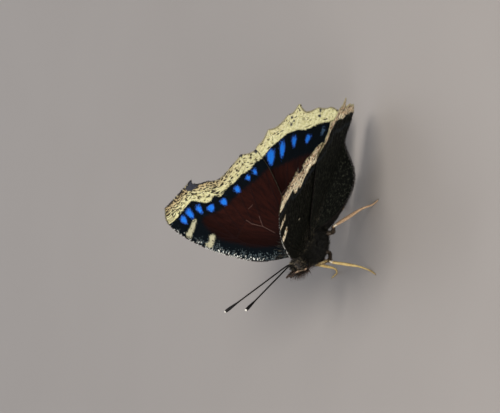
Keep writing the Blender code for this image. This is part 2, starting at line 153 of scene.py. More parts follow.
class Flow:
    """A number or colour that varies over a surface. Arithmetic on it adds Math nodes."""

    def __init__(self, finish, socket):
        self.finish = finish
        self.socket = socket

    def math(self, operation, first, second):
        return self.finish.node("Math", {"operation": operation}, {0: first, 1: second})

    def __add__(self, other):
        return self.math("ADD", self, other)

    def __sub__(self, other):
        return self.math("SUBTRACT", self, other)

    def __rsub__(self, other):
        return self.math("SUBTRACT", other, self)

    def __mul__(self, other):
        return self.math("MULTIPLY", self, other)

    __radd__ = __add__
    __rmul__ = __mul__

    def least(self, other):
        return self.math("MINIMUM", self, other)

    def within(self, low, high):
        """0 below low, 1 above high, eased between; low may be the greater of the two."""
        if low > high:
            return 1.0 - self.within(high, low)
        return self.finish.node("MapRange", {"interpolation_type": "SMOOTHSTEP"},
                                {"Value": self, "From Min": low, "From Max": high})


class Finish:
    """One material. Values that are the same all over sit on the shader's own sockets."""

    def __init__(self, name, **constants):
        self.material = bpy.data.materials.new(name)
        self.material.use_nodes = True
        self.tree = self.material.node_tree
        self.shader = self.tree.nodes["Principled BSDF"]
        for label, value in constants.items():
            self.shader.inputs[label.replace("_", " ")].default_value = value

    def node(self, kind, settings, values, give=0):
        """Adds a node: its settings first, then the values or links of its sockets."""
        made = self.tree.nodes.new("ShaderNode" + kind)
        for label, value in settings.items():
            setattr(made, label, value)
        for label, value in values.items():
            if isinstance(value, Flow):
                self.tree.links.new(value.socket, made.inputs[label])
            else:
                made.inputs[label].default_value = value
        return Flow(self, made.outputs[give])

    def field(self, name, give="Fac"):
        return self.node("Attribute", {"attribute_name": name}, {}, give)

    def vectors(self, operation, first, second, give=0):
        return self.node("VectorMath", {"operation": operation}, {0: first, 1: second}, give)

    def stretched(self, vector, scales):
        return self.vectors("MULTIPLY", vector, scales)

    def place(self):
        """The surface's own place in millimetres."""
        return self.stretched(self.node("TexCoord", {}, {}, "Object"), (1 / MM, 1 / MM, 1 / MM))

    def part(self, vector, axis):
        return self.node("SeparateXYZ", {}, {0: vector}, axis)

    def noise(self, vector, scale, detail=3.0, rough=0.55, give=0):
        return self.node("TexNoise", {}, {"Vector": vector, "Scale": scale, "Detail": detail,
                                          "Roughness": rough}, give)

    def cells(self, vector, scale):
        """Distance from the middle of the nearest of many scattered cells."""
        return self.node("TexVoronoi", {}, {"Vector": vector, "Scale": scale}, "Distance")

    def dashes(self, vector, sizes, share):
        """Scattered dashes: cells of the stretched vector, of which a share is filled."""
        cell = self.node("TexVoronoi", {"voronoi_dimensions": "2D"},
                         {"Vector": self.stretched(vector, (*sizes, 1.0)), "Scale": 1.0})
        chance = self.part(Flow(self, cell.socket.node.outputs["Color"]), "X")
        return cell.within(0.50, 0.34) * (share - chance).within(-0.02, 0.02)

    def swirled(self, vector, scale, amount):
        """The vector, pushed about by a cloud of that scale."""
        cloud = self.noise(vector, scale, 1.0, 0.5, "Color")
        push = self.vectors("SUBTRACT", cloud, (0.5, 0.5, 0.5))
        return self.vectors("ADD", vector, self.stretched(push, (amount, amount, 0.0)))

    def mix(self, first, second, mask):
        """Colour that goes from first to second as the mask goes from 0 to 1."""
        first, second = (colour if isinstance(colour, Flow) else (*colour, 1.0)
                         for colour in (first, second))
        return self.node("Mix", {"data_type": "RGBA"}, {0: mask, 6: first, 7: second}, 2)

    def painted(self, ground, *layers):
        """Colours laid over a ground in turn, each as far as its own mask goes from 0 to 1."""
        for tone, mask in layers:
            ground = self.mix(ground, tone, mask)
        return ground

    def bump(self, height, depth):
        """Normal from a height between 0 and 1 that stands for a depth in millimetres."""
        return self.node("Bump", {}, {"Height": height, "Distance": depth * MM}, "Normal")

    def feed(self, **flows):
        for label, flow in flows.items():
            self.tree.links.new(flow.socket, self.shader.inputs[label.replace("_", " ")])
        return self.material


floor_finish = Finish("floor_matt", Roughness=0.9, Specular_IOR_Level=0.1)
floor_mesh.materials.append(floor_finish.feed(Base_Color=floor_finish.mix(
    *FLOOR_TONES, floor_finish.noise(floor_finish.place(), 0.02, 2.0))))

# Body skin. Head, thorax and abdomen are one soft skin over a stiff shell, dark brown and
# closely scaled. It is carried as rounded sections along the body, eased together at the neck
# and the waist, and lies under the coat by the coat's own depth.
HEAD = dict(centre=(0.0, -6.5, -1.65), half=(1.55, 1.8, 1.85), taper=0.0, full=0.9, droop=0.0)
ABDOMEN = dict(centre=(0.0, 11.6, -2.9), half=(2.0, 8.0, 2.05), taper=-0.2, full=0.72, droop=0.7)
BODY_FORMS = ((HEAD, 0.35), (THORAX, 0.55), (ABDOMEN, 0.28))
PAST_END_SHRINK = 8
NECK_EASE = 0.5
SEGMENT_FIRST = 4.6
SEGMENT_LENGTH = 1.85
SEGMENT_STEP = 0.09
SEGMENT_FULL_DEPTH = 1.2
THINNEST = 0.02
EVEN_SHARE = 0.7
SKIN_MESH = (260, 72)
SKIN_TONES = ((0.010, 0.007, 0.006), (0.034, 0.024, 0.018))
SKIN_SCALE_EDGE = (0.006, 0.005, 0.004)
# Painted shade: the body's sides and belly are darkened where the wings shade them.
FLANK_FROM = -0.6
FLANK_FULL = -2.2
FLANK_SHADE_TONE = (0.0028, 0.0030, 0.0020)
FLANK_SHADE_DEPTH = 0.80


def ease_max(first, second):
    """The greater of two, rounded where they are within NECK_EASE of each other."""
    near = np.clip(NECK_EASE - abs(first - second), 0, None)
    return np.maximum(first, second) + near ** 2 / (4 * NECK_EASE)


def section_of(form, coat, along):
    """Half width, top and bottom of an egg's section at a station; beyond its ends they shrink
    further, so that they lose to the neighbour's."""
    half = np.array(form["half"]) - coat
    t = (along - form["centre"][1]) / half[1]
    inner = np.clip(1 - t * t, 0, None)
    ring = ((1 + form["taper"] * t) * np.sqrt(inner) ** form["full"]
            - np.clip(abs(t) - 1, 0, None) * PAST_END_SHRINK)
    level = form["centre"][2] - form["droop"] * inner
    return half[0] * ring, level + half[2] * ring, -level + half[2] * ring


def body_grid(stations, sides):
    """Skin points (station, side, xyz) in body axes, from the brow to the tip of the tail. Each
    section is the eased greatest of the three eggs', with a small step at each segment."""
    first = HEAD["centre"][1] - HEAD["half"][1] + BODY_FORMS[0][1]
    last = ABDOMEN["centre"][1] + ABDOMEN["half"][1] - BODY_FORMS[2][1]
    share = np.linspace(0, 1, stations)
    share = EVEN_SHARE * share + (1 - EVEN_SHARE) * (0.5 - 0.5 * np.cos(math.pi * share))
    along = first + (last - first) * share
    parts = [section_of(form, coat, along) for form, coat in BODY_FORMS]
    width, top, bottom = (ease_max(ease_max(a, b), c) for a, b, c in zip(*parts))
    segment = np.clip((along - SEGMENT_FIRST) / SEGMENT_LENGTH, 0, None)
    step = SEGMENT_STEP * (segment - np.floor(segment)) ** 2 * (along > SEGMENT_FIRST)
    depth = (top + bottom) / 2
    step = step * np.clip(depth / SEGMENT_FULL_DEPTH, 0, 1)
    width = np.clip(width + step, THINNEST, None)[:, None]
    depth = np.clip(depth + step, THINNEST, None)[:, None]
    turns = np.linspace(0, math.tau, sides, endpoint=False)[None]
    return np.stack([width * np.sin(turns), along[:, None] + 0 * turns,
                     (top - bottom)[:, None] / 2 + depth * np.cos(turns)], axis=-1)


def enclosed(points, faces):
    """Six times the volume inside closed faces; below 0 if they face inwards."""
    centred = points - points.mean(0)
    total = 0.0
    for block in faces:
        for k in range(1, block.shape[1] - 1):
            a, b, c = (centred[block[:, i]] for i in (0, k, k + 1))
            total += np.einsum("ij,ij->", a, np.cross(b, c))
    return total


def make_piece(name, points, faces, material, replaced=(), fields=None, bake_map=None):
    """Adds a piece from points in millimetres and blocks of faces with like corner counts. The
    faces are turned outwards, and fields are stored on the points."""
    if enclosed(points, faces) < 0:
        faces = [block[:, ::-1] for block in faces]
    corners = np.concatenate([block.ravel() for block in faces]).astype(np.int32)
    counts = np.concatenate([np.full(len(block), block.shape[1]) for block in faces])
    starts = np.concatenate([[0], np.cumsum(counts)[:-1]]).astype(np.int32)
    mesh = bpy.data.meshes.new(name)
    mesh.vertices.add(len(points))
    mesh.vertices.foreach_set("co", (points * MM).astype(np.float32).ravel())
    mesh.loops.add(len(corners))
    mesh.loops.foreach_set("vertex_index", corners)
    mesh.polygons.add(len(counts))
    mesh.polygons.foreach_set("loop_start", starts)
    mesh.update(calc_edges=True)
    mesh.shade_smooth()
    for label, values in (fields or {}).items():
        kind, key = ("FLOAT_VECTOR", "vector") if values.ndim == 2 else ("FLOAT", "value")
        layer = mesh.attributes.new(label, kind, "POINT")
        layer.data.foreach_set(key, values.astype(np.float32).ravel())
    if bake_map is not None:
        layer = mesh.uv_layers.new(name="OFBake")
        layer.data.foreach_set("uv", bake_map[corners].astype(np.float32).ravel())
    mesh.materials.append(material)
    piece = bpy.data.objects.new(name, mesh)
    bpy.context.scene.collection.objects.link(piece)
    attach(piece, "root")
    if replaced:
        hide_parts(*replaced)


def add_tube(name, grid, settle, material, replaced=(), fields=None):
    """Adds a closed tube from a grid of rings: four-cornered faces between them, and at each end
    a fan round the middle of the end ring. The fields are given for each ring or ring point."""
    stations, sides = grid.shape[:2]
    ring = np.arange(sides)
    after_ring = (ring + 1) % sides
    base = np.arange(stations - 1)[:, None] * sides
    here, after = (base + ring).ravel(), (base + after_ring).ravel()
    first, last = stations * sides, stations * sides + 1
    end = (stations - 1) * sides
    faces = [np.column_stack([here, after, after + sides, here + sides]),
             np.vstack([np.column_stack([np.full(sides, first), after_ring, ring]),
                        np.column_stack([np.full(sides, last), end + ring, end + after_ring])])]

    def with_ends(values):
        return np.concatenate([values.ravel(), [values[0].mean(), values[-1].mean()]])

    fields = {label: with_ends(np.broadcast_to(values, (stations, sides)))
              for label, values in (fields or {}).items()}
    points = np.vstack([grid.reshape(-1, 3), grid[0].mean(0), grid[-1].mean(0)])
    make_piece(name, settle(points), faces, material, replaced, fields)


def flank_shade_share(finish):
    """How far down the body's side a place lies, for a painted shade under the wings: 0 over the
    back, 1 from mid side down.
    """
    place = finish.place()
    height = finish.part(place, "Y") * math.sin(PITCH) + finish.part(place, "Z") * math.cos(PITCH)
    height = height - (HINGE[1] * math.sin(PITCH) + HINGE[2] * math.cos(PITCH))
    return height.within(FLANK_FROM, FLANK_FULL) * FLANK_SHADE_DEPTH


skin_finish = Finish("skin_scaled", Roughness=0.62, Specular_IOR_Level=0.25)
skin_scale = skin_finish.cells(skin_finish.stretched(skin_finish.place(), (1.0, 0.6, 1.0)), 7.0)
# The skin is darkened down its sides by a painted shade, standing in for the shade of the wings.
skin_colour = skin_finish.painted(
    skin_finish.mix(*SKIN_TONES, skin_finish.noise(skin_finish.place(), 1.4, 4.0)),
    (FLANK_SHADE_TONE, flank_shade_share(skin_finish)), (SKIN_SCALE_EDGE, skin_scale.within(0.3, 0.9)))
skin_material = skin_finish.feed(Base_Color=skin_colour,
                                 Normal=skin_finish.bump(1.0 - skin_scale, 0.03))

skin_grid = body_grid(*SKIN_MESH)
add_tube("body_skin", skin_grid, stand, skin_material, ("head", "thorax", "abdomen"))

# Body coat. Hair-like scales cover the body: long and shaggy on the thorax, close and short on
# the abdomen, bristly on the head. Each is a thin tapered lock rooted in the skin, laid
# tailward and lifted a little, with its own shade.
COATS = {
    "coat_thorax": dict(span=(-4.9, 4.4), count=11000, seed=11, finish="coat_brown",
                        locks=dict(length=(1.1, 1.9), width=0.055, lift=0.30)),
    "coat_abdomen": dict(span=(4.0, 19.2), count=12300, seed=12, finish="coat_brown",
                         locks=dict(length=(0.45, 0.85), width=0.053, lift=0.16)),
    "coat_head": dict(span=(-8.1, -4.6), count=7500, seed=13, finish="coat_face",
                      locks=dict(length=(0.50, 1.15), width=0.04, lift=0.5)),
}
COAT_STRAY = 0.16
COAT_BEND = (0.15, -0.125)
COAT_LIFT_RANGE = (0.6, 1.4)
LOCK_STATIONS = np.array([0.0, 0.35, 0.7, 1.0])
LOCK_WIDTHS = np.array([0.8, 1.0, 0.7])
LOCK_ANGLES = np.radians([90, 210, 330])
LOCK_POINTS = 10
LOCK_FLATNESS = 0.5
LOCK_SUNK = 0.06
BAKE_PATCH = 0.003
BAKE_EDGE = 0.01
BROWN_TONES = ((0.004, 0.0035, 0.0028), (0.028, 0.0235, 0.0155), (0.13, 0.112, 0.072), 0.10)
FACE_TONES = ((0.003, 0.0027, 0.0022), (0.034, 0.028, 0.019), (0.30, 0.25, 0.165), 0.16)


def unit(vectors):
    return vectors / np.clip(np.linalg.norm(vectors, axis=-1, keepdims=True), 1e-9, None)


def drawn(span, count, draw, power=1.0):
    """Values drawn between the two of the span, crowded to the first if power is over 1."""
    return span[0] + (span[1] - span[0]) * draw.random(count) ** power


def grid_frames(grid):
    """Unit tangent along and outward normal at each point of a grid of closed rings."""
    along = unit(np.gradient(grid, axis=0))
    wrapped = np.concatenate([grid[:, -1:], grid, grid[:, :1]], axis=1)
    normal = unit(np.cross(along, (wrapped[:, 2:] - wrapped[:, :-2]) / 2))
    outward = grid - grid.mean(axis=1, keepdims=True)
    return along, normal * np.sign((normal * outward).sum((1, 2), keepdims=True))


def read_grid(grid, row, column):
    """Values between a grid's points, straight between neighbours; columns wrap round."""
    row0 = np.clip(np.floor(row).astype(int), 0, grid.shape[0] - 2)
    column0 = np.floor(column).astype(int) % grid.shape[1]
    column1 = (column0 + 1) % grid.shape[1]
    down = (row - row0)[:, None]
    over = (column - np.floor(column))[:, None]
    near = grid[row0, column0] * (1 - over) + grid[row0, column1] * over
    far = grid[row0 + 1, column0] * (1 - over) + grid[row0 + 1, column1] * over
    return near * (1 - down) + far * down


def scattered(grid, count, draw):
    """Rows and columns spread over a tube's surface by its area: a row is drawn by the running
    sum of ring girth times the way to the next ring, a column evenly round the ring."""
    girth = np.linalg.norm(np.diff(grid, axis=1, append=grid[:, :1]), axis=2).sum(1)
    way = np.linalg.norm(np.gradient(grid.mean(1), axis=0), axis=1)
    total = np.concatenate([[0], np.cumsum((girth * way)[:-1] + 1e-6)])
    rows = np.interp(draw.random(count) * total[-1], total, np.arange(len(total)))
    return rows, draw.random(count) * grid.shape[1]


def add_locks(name, settle, material, root, lie, normal, length, width, bend, root_map,
              draw, extra=None):
    """Adds thin tapered locks as one piece. Each is three-sided: its middle line is root + lie *
    length * t plus bend * t squared, its width follows LOCK_WIDTHS and it ends in a point. It
    draws a tone of its own, and its map is a small patch at its root's own place."""
    count = len(root)
    t = LOCK_STATIONS[None, :, None]
    spine = ((root - LOCK_SUNK * normal)[:, None] + (lie * length[:, None])[:, None] * t
             + bend[:, None] * t ** 2)
    side = unit(np.cross(lie, normal))
    flat = unit(np.cross(side, lie))
    ring = (np.cos(LOCK_ANGLES)[:, None] * side[:, None, None]
            + LOCK_FLATNESS * np.sin(LOCK_ANGLES)[:, None] * flat[:, None, None])
    width = np.broadcast_to(width, count)[:, None] * LOCK_WIDTHS
    walls = spine[:, :3, None] + width[:, :, None, None] * ring
    points = np.concatenate([walls.reshape(count, 9, 3), spine[:, 3:]], axis=1).reshape(-1, 3)
    start = np.arange(count)[:, None, None] * LOCK_POINTS
    quads = np.array([[3 * s + k, 3 * s + (k + 1) % 3, 3 * s + 3 + (k + 1) % 3, 3 * s + 3 + k]
                      for s in range(2) for k in range(3)])
    ends = np.array([[6, 7, 9], [7, 8, 9], [8, 6, 9], [2, 1, 0]])
    faces = [(start + quads).reshape(-1, 4), (start + ends).reshape(-1, 3)]
    reach = np.concatenate([np.repeat(LOCK_STATIONS[:3], 3), [1.0]])
    sideways = np.concatenate([np.tile([0.5, 0.0, 1.0], 3), [0.5]]) - 0.5
    patch = BAKE_PATCH * np.column_stack([sideways, reach - 0.5])
    bake_map = BAKE_EDGE + (1 - 2 * BAKE_EDGE) * root_map[:, None] + patch
    fields = {"tip": np.tile(reach, count)}
    for label, values in {"tone": draw.random(count), **(extra or {})}.items():
        fields[label] = np.repeat(values, LOCK_POINTS)
    make_piece(name, settle(points), faces, material, (), fields, bake_map.reshape(-1, 2))


def add_hairs(name, settle, material, slot, grid, rows, columns, draw, length, width, lift,
              stray, bend, power=1.0, lift_range=None, extra=None):
    """Adds locks rooted on a tube, at rows and columns of its grid. Each lies along the tube,
    raised by `lift` towards the outward normal and turned at random by `stray`. Its length is
    drawn from a span, and `bend` is its curve along the tube and along the normal."""
    along, normal = grid_frames(grid)
    count = len(rows)
    way = read_grid(along, rows, columns)
    normal = unit(read_grid(normal, rows, columns))
    turned = stray * draw.normal(0, 1, (count, 3))
    if lift_range:
        lift = lift * drawn(lift_range, count, draw)
    lift = np.broadcast_to(lift, count)[:, None]
    lie = unit(way * (1 - lift) + normal * lift + turned)
    length = drawn(length, count, draw, power)
    add_locks(name, settle, material, read_grid(grid, rows, columns), lie, normal, length,
              width, length[:, None] * (bend[0] * way + bend[1] * normal),
              np.column_stack([rows, columns]) / grid.shape[:2], draw, extra)


def coat_finish(name, root, tip, pale, pale_share):
    """Hair: darker at the root, its own colour at the tip, some locks paler than the rest and
    paler or darker in clumps."""
    finish = Finish(name, Roughness=0.5, Specular_IOR_Level=0.3)
    tone, reach = finish.field("tone"), finish.field("tip")
    clump = finish.noise(finish.place(), 1.5, 3.0, 0.8)
    return finish, finish.painted(
        root, (tip, reach.within(0.0, 0.9) * (0.35 + 0.65 * tone)),
        (pale, tone.within(1 - pale_share, 1.0) * reach.within(0.2, 0.8)),
        (root, clump.within(0.54, 0.45) * 0.9),
        (pale, clump.within(0.53, 0.62) * reach.within(0.1, 0.6) * 0.85))


coat, coat_colour = coat_finish("coat_brown", *BROWN_TONES)
face_coat, face_colour = coat_finish("coat_face", *FACE_TONES)
coat_materials = {
    # The brown coat gets the same painted shade down the body's sides; the eye and wing root
    # hairs use this coat too.
    "coat_brown": coat.feed(Base_Color=coat.mix(coat_colour, FLANK_SHADE_TONE, flank_shade_share(coat))),
    "coat_face": face_coat.feed(Base_Color=face_colour)}

for coat_name, row in COATS.items():
    draw = np.random.default_rng(row["seed"])
    low, high = np.searchsorted(skin_grid[:, :, 1].mean(1), row["span"])
    rows, columns = scattered(skin_grid[low:high], row["count"], draw)
    add_hairs(coat_name, stand, coat_materials[row["finish"]], "body_fur", skin_grid, rows + low,
              columns, draw, stray=COAT_STRAY, bend=COAT_BEND, lift_range=COAT_LIFT_RANGE,
              **row["locks"])

# Eyes. Large domes of many fine lenses, brown black with a soft gloss, set into the sides of
# the head. Each is an egg with its lenses as a fine relief, and short hairs between them.
EYE_CENTRE = (1.2, -6.5, -1.35)
EYE_HALF = (0.8, 1.0, 1.25)
EYE_MESH = (48, 64)
LENSES_PER_MM = 16.0
EYE_TONES = ((0.003, 0.003, 0.003), (0.23, 0.18, 0.125))
LENS_EDGE = (0.004, 0.003, 0.003)
EYE_HAIRS = dict(length=(0.20, 0.42), width=0.014, lift=2 / 3, stray=0.08, bend=(0.0, 0.0))
EYE_HAIR_COUNT = 500
EYE_SEED = 41

eye_finish = Finish("eye_lenses", Roughness=0.5, Specular_IOR_Level=0.2)
lens = eye_finish.cells(eye_finish.place(), LENSES_PER_MM)
eye_cloud = eye_finish.noise(eye_finish.place(), 3.3, 3.0, 0.8)
eye_material = eye_finish.feed(
    Base_Color=eye_finish.painted(eye_finish.mix(*EYE_TONES, eye_cloud.within(0.50, 0.62)),
                                  (LENS_EDGE, lens.within(0.35, 0.8))),
    Normal=eye_finish.bump(1.0 - lens, 0.02))

for side, label in SIDES:
    eye_grid = egg(dict(centre=(side * EYE_CENTRE[0], *EYE_CENTRE[1:]), half=EYE_HALF, taper=0.0,
                        full=1.0, droop=0.0), *EYE_MESH)
    add_tube("eye_" + label + "_lenses", eye_grid, stand, eye_material,
             ("eye_" + label,))
    draw = np.random.default_rng(EYE_SEED + side)
    rows, columns = scattered(eye_grid, EYE_HAIR_COUNT, draw)
    add_hairs("eye_" + label + "_hairs", stand, coat_materials["coat_brown"], "body_fur",
              eye_grid, rows, columns, draw, **EYE_HAIRS)

# Palps. Two short upturned feelers in front of the face, each of three joints, closely scaled,
# with a tan stripe on the outer side and a brush of stiff hairs below. Each is a tube along a
# smooth path, deeper than it is wide.
PALP_ROUTE = [(0.8, -5.4, -3.2, 0.30), (0.98, -6.2, -3.4, 0.35), (1.02, -7.3, -2.3, 0.34),
              (1.03, -8.15, -1.5, 0.32), (1.05, -9.0, -1.12, 0.30), (1.05, -9.8, -0.80, 0.20)]
PALP_STEP = 0.12
PALP_SIDES = 20
PALP_NARROW = 0.8
PALP_HAIRS = {
    "down": dict(count=3000, seed=22, locks=dict(length=(0.16, 0.34), width=0.03, lift=0.25)),
    "brush": dict(count=300, seed=21,
                  locks=dict(length=(0.5, 2.5), width=0.042, lift=0.75, power=1.4)),
}
PALP_STRAY = 0.15
PALP_BEND = (0.15, 0.0)
BRUSH_SPREAD = 0.13
BRUSH_SHARE = 0.70
STRIPE_THINS_FROM = 0.60
PALP_SKIN_TONES = ((0.014, 0.010, 0.008), (0.42, 0.29, 0.19))
PALP_COAT_TONES = ((0.006, 0.005, 0.004), (0.055, 0.034, 0.025), (0.20, 0.115, 0.08), 0.35)
PALP_STRIPE_TONE = (0.62, 0.45, 0.31)


def smooth_path(points, step, side=1):
    """Smooth curve through the points, read about every step: between two of them a cubic whose
    slope at each is half the way from its one neighbour to the other. The first three numbers
    of a point are its place, across on the given side; those after them, such as a radius,
    follow along."""
    p = np.array(points, dtype=float)
    p[:, 0] *= side
    ends = np.vstack([2 * p[0] - p[1], p, 2 * p[-1] - p[-2]])
    read = []
    for i in range(len(p) - 1):
        before, start, end, after = ends[i:i + 4]
        count = max(1, round(float(np.linalg.norm((end - start)[:3])) / step))
        t = (np.arange(count) / count)[:, None]
        read.append(0.5 * (2 * start + (end - before) * t
                           + (2 * before - 5 * start + 4 * end - after) * t ** 2
                           + (3 * start - before - 3 * end + after) * t ** 3))
    return np.vstack(read + [p[-1:]])


def carried(path, radius, sides, crosswise, narrow=1.0):
    """Rings of a tube: at each station a circle in the plane square to the path, turned so
    that its sine side lies along `crosswise` and narrowed on that side."""
    way = unit(np.gradient(path, axis=0))
    sideways = unit(crosswise - (way @ crosswise)[:, None] * way)
    upward = np.cross(sideways, way)
    turns = np.linspace(0, math.tau, sides, endpoint=False)
    return path[:, None] + radius[:, None, None] * (
        narrow * np.sin(turns)[None, :, None] * sideways[:, None]
        + np.cos(turns)[None, :, None] * upward[:, None])


def stripe_of(rows, columns, grid):
    """How far a point of a palp lies in its outer stripe, from 0 to 1."""
    share, turns = rows / len(grid), columns / PALP_SIDES * math.tau
    thinned = 4.0 * np.clip(share - STRIPE_THINS_FROM, 0, 1)
    return np.clip(2.2 * np.sin(turns) - 1.3 - thinned, 0, 1) * np.clip(share * 4, 0, 1)


def palp_colours(finish, dark, pale):
    """A dark colour with the pale stripe on it, broken up in patches."""
    worn = finish.field("stripe") * (2.6 * finish.noise(finish.place(), 5.0, 3.0) - 0.4)
    return finish.mix(dark, pale, worn.within(0.20, 0.80))


palp_skin = Finish("palp_skin", Roughness=0.6, Specular_IOR_Level=0.25)
palp_skin_material = palp_skin.feed(Base_Color=palp_colours(palp_skin, *PALP_SKIN_TONES))
palp_coat, palp_dark = coat_finish("palp_coat", *PALP_COAT_TONES)
palp_coat_material = palp_coat.feed(
    Base_Color=palp_colours(palp_coat, palp_dark, PALP_STRIPE_TONE))

for side, label in SIDES:
    palp = smooth_path(PALP_ROUTE, PALP_STEP, side)
    palp_grid = carried(palp[:, :3], palp[:, 3], PALP_SIDES, np.array([side, 0.0, 0.0]),
                        PALP_NARROW)
    stripe = stripe_of(*np.mgrid[0:len(palp), 0:PALP_SIDES], palp_grid)
    add_tube("palp_" + label + "_skin", palp_grid, stand, palp_skin_material,
             ("palp_" + label,), {"stripe": stripe})
    lowest = palp_grid[len(palp) // 2, :, 2].argmin()
    for kind, row in PALP_HAIRS.items():
        draw = np.random.default_rng(row["seed"] + side)
        rows, columns = scattered(palp_grid, row["count"], draw)
        stripe = stripe_of(rows, columns, palp_grid)
        if kind == "brush":
            columns = lowest + draw.normal(0, PALP_SIDES * BRUSH_SPREAD, row["count"])
            columns, rows, stripe = columns % PALP_SIDES, rows * BRUSH_SHARE, 0.0 * stripe
        add_hairs("palp_" + label + "_" + kind, stand, palp_coat_material, "body_fur", palp_grid,
                  rows, columns, draw, stray=PALP_STRAY, bend=PALP_BEND, extra={"stripe": stripe},
                  **row["locks"])

# Tongue. A slender brown tube, coiled like a watch spring between the palps when at rest. It is
# one tube along a flat spiral that closes in as it turns.
TONGUE_CENTRE = (0.0, -6.25, -3.75)
TONGUE_START = math.radians(100)
TONGUE_TURNS = 2.6
TONGUE_REACH = (0.78, 0.2)
TONGUE_RADIUS = (0.15, 0.07)
TONGUE_WIDEN = 1.3
TONGUE_MESH = (150, 14)
TONGUE_TONES = ((0.02, 0.012, 0.008), (0.09, 0.05, 0.025))
ACROSS = np.array([1.0, 0.0, 0.0])

tongue_share = np.linspace(0, 1, TONGUE_MESH[0])
tongue_turn = TONGUE_START + math.tau * TONGUE_TURNS * tongue_share
tongue_reach = np.interp(tongue_share, (0, 1), TONGUE_REACH)
tongue_path = TONGUE_CENTRE + np.column_stack([
    0 * tongue_share, -tongue_reach * np.cos(tongue_turn), tongue_reach * np.sin(tongue_turn)])
tongue_grid = carried(tongue_path, np.interp(tongue_share, (0, 1), TONGUE_RADIUS),
                      TONGUE_MESH[1], ACROSS, TONGUE_WIDEN)
tongue_finish = Finish("tongue_brown", Roughness=0.4, Specular_IOR_Level=0.4)
tongue_rings = tongue_finish.noise(tongue_finish.place(), 9.0, 2.0)
add_tube("tongue", tongue_grid, stand, tongue_finish.feed(
    Base_Color=tongue_finish.mix(*TONGUE_TONES, tongue_rings),
    Normal=tongue_finish.bump(tongue_rings, 0.01)), ("proboscis",))

# Antennae. Each is a stiff black thread of some forty joints, ringed with pale scales below,
# that thickens into a blunt club with a cream tip. It is one tube whose width follows the
# joints and the club.
ANTENNA_ROOT = np.array([0.5, -6.8, 0.25])
ANTENNA_REACH = np.array([5.55, -16.4, 7.35])
ANTENNA_SUNK = 0.55
ANTENNA_SINKS_WITHIN = 0.02
ANTENNA_JOINTS = 42
JOINT_SWELL = 0.10
SHAFT_RADIUS = 0.175
CLUB_RADIUS = 0.37
CLUB_SHARE = 0.24
CLUB_ROUND_SHARE = 0.038
ANTENNA_MESH = (420, 12)
ANTENNA_TONE = (0.0035, 0.003, 0.003)
ANTENNA_RING_TONE = (0.32, 0.28, 0.20)
ANTENNA_TIP_TONE = (0.74, 0.71, 0.64)


def smooth_step(value):
    """0 below 0, 1 above 1, eased between: 3 times the square less twice the cube."""
    t = np.clip(value, 0.0, 1.0)
    return t * t * (3.0 - 2.0 * t)


antenna_finish = Finish("antenna_black", Roughness=0.6, Specular_IOR_Level=0.18)
share_field = antenna_finish.field("share")
ring_mask = (antenna_finish.field("ring").within(0.72, 0.95) * share_field.within(0.84, 0.78)
             * antenna_finish.field("below").within(0.0, 0.7))
antenna_material = antenna_finish.feed(
    Base_Color=antenna_finish.painted(ANTENNA_TONE, (ANTENNA_RING_TONE, ring_mask * 0.3),
                                      (ANTENNA_TIP_TONE, share_field.within(0.979, 0.989))),
    Normal=antenna_finish.bump(antenna_finish.cells(antenna_finish.place(), 14.0), 0.012))

share = np.linspace(0, 1, ANTENNA_MESH[0])
joint = share * ANTENNA_JOINTS % 1.0
club = smooth_step((share - 1 + CLUB_SHARE) / (0.75 * CLUB_SHARE))
club_end = np.clip((share - 1) / CLUB_ROUND_SHARE + 1, 0, 1)
antenna_radius = ((SHAFT_RADIUS + (CLUB_RADIUS - SHAFT_RADIUS) * club)
                  * np.sqrt(np.clip(1 - club_end ** 2, 0.03, 1))
                  * (1 + JOINT_SWELL * np.sin(math.pi * joint) * (1 - 0.6 * club)))
below = -np.cos(np.linspace(0, math.tau, ANTENNA_MESH[1], endpoint=False))
for side, label in SIDES:
    mirror = np.array([side, 1, 1])
    path = ANTENNA_ROOT * mirror + share[:, None] * (ANTENNA_REACH * mirror)
    path[:, 2] -= ANTENNA_SUNK * np.exp(-share / ANTENNA_SINKS_WITHIN)
    antenna_grid = carried(path, antenna_radius, ANTENNA_MESH[1], ACROSS)
    add_tube("antenna_" + label + "_shaft", antenna_grid, stand, antenna_material,
             ("antenna_" + label,),
             {"share": share[:, None], "ring": joint[:, None], "below": below})

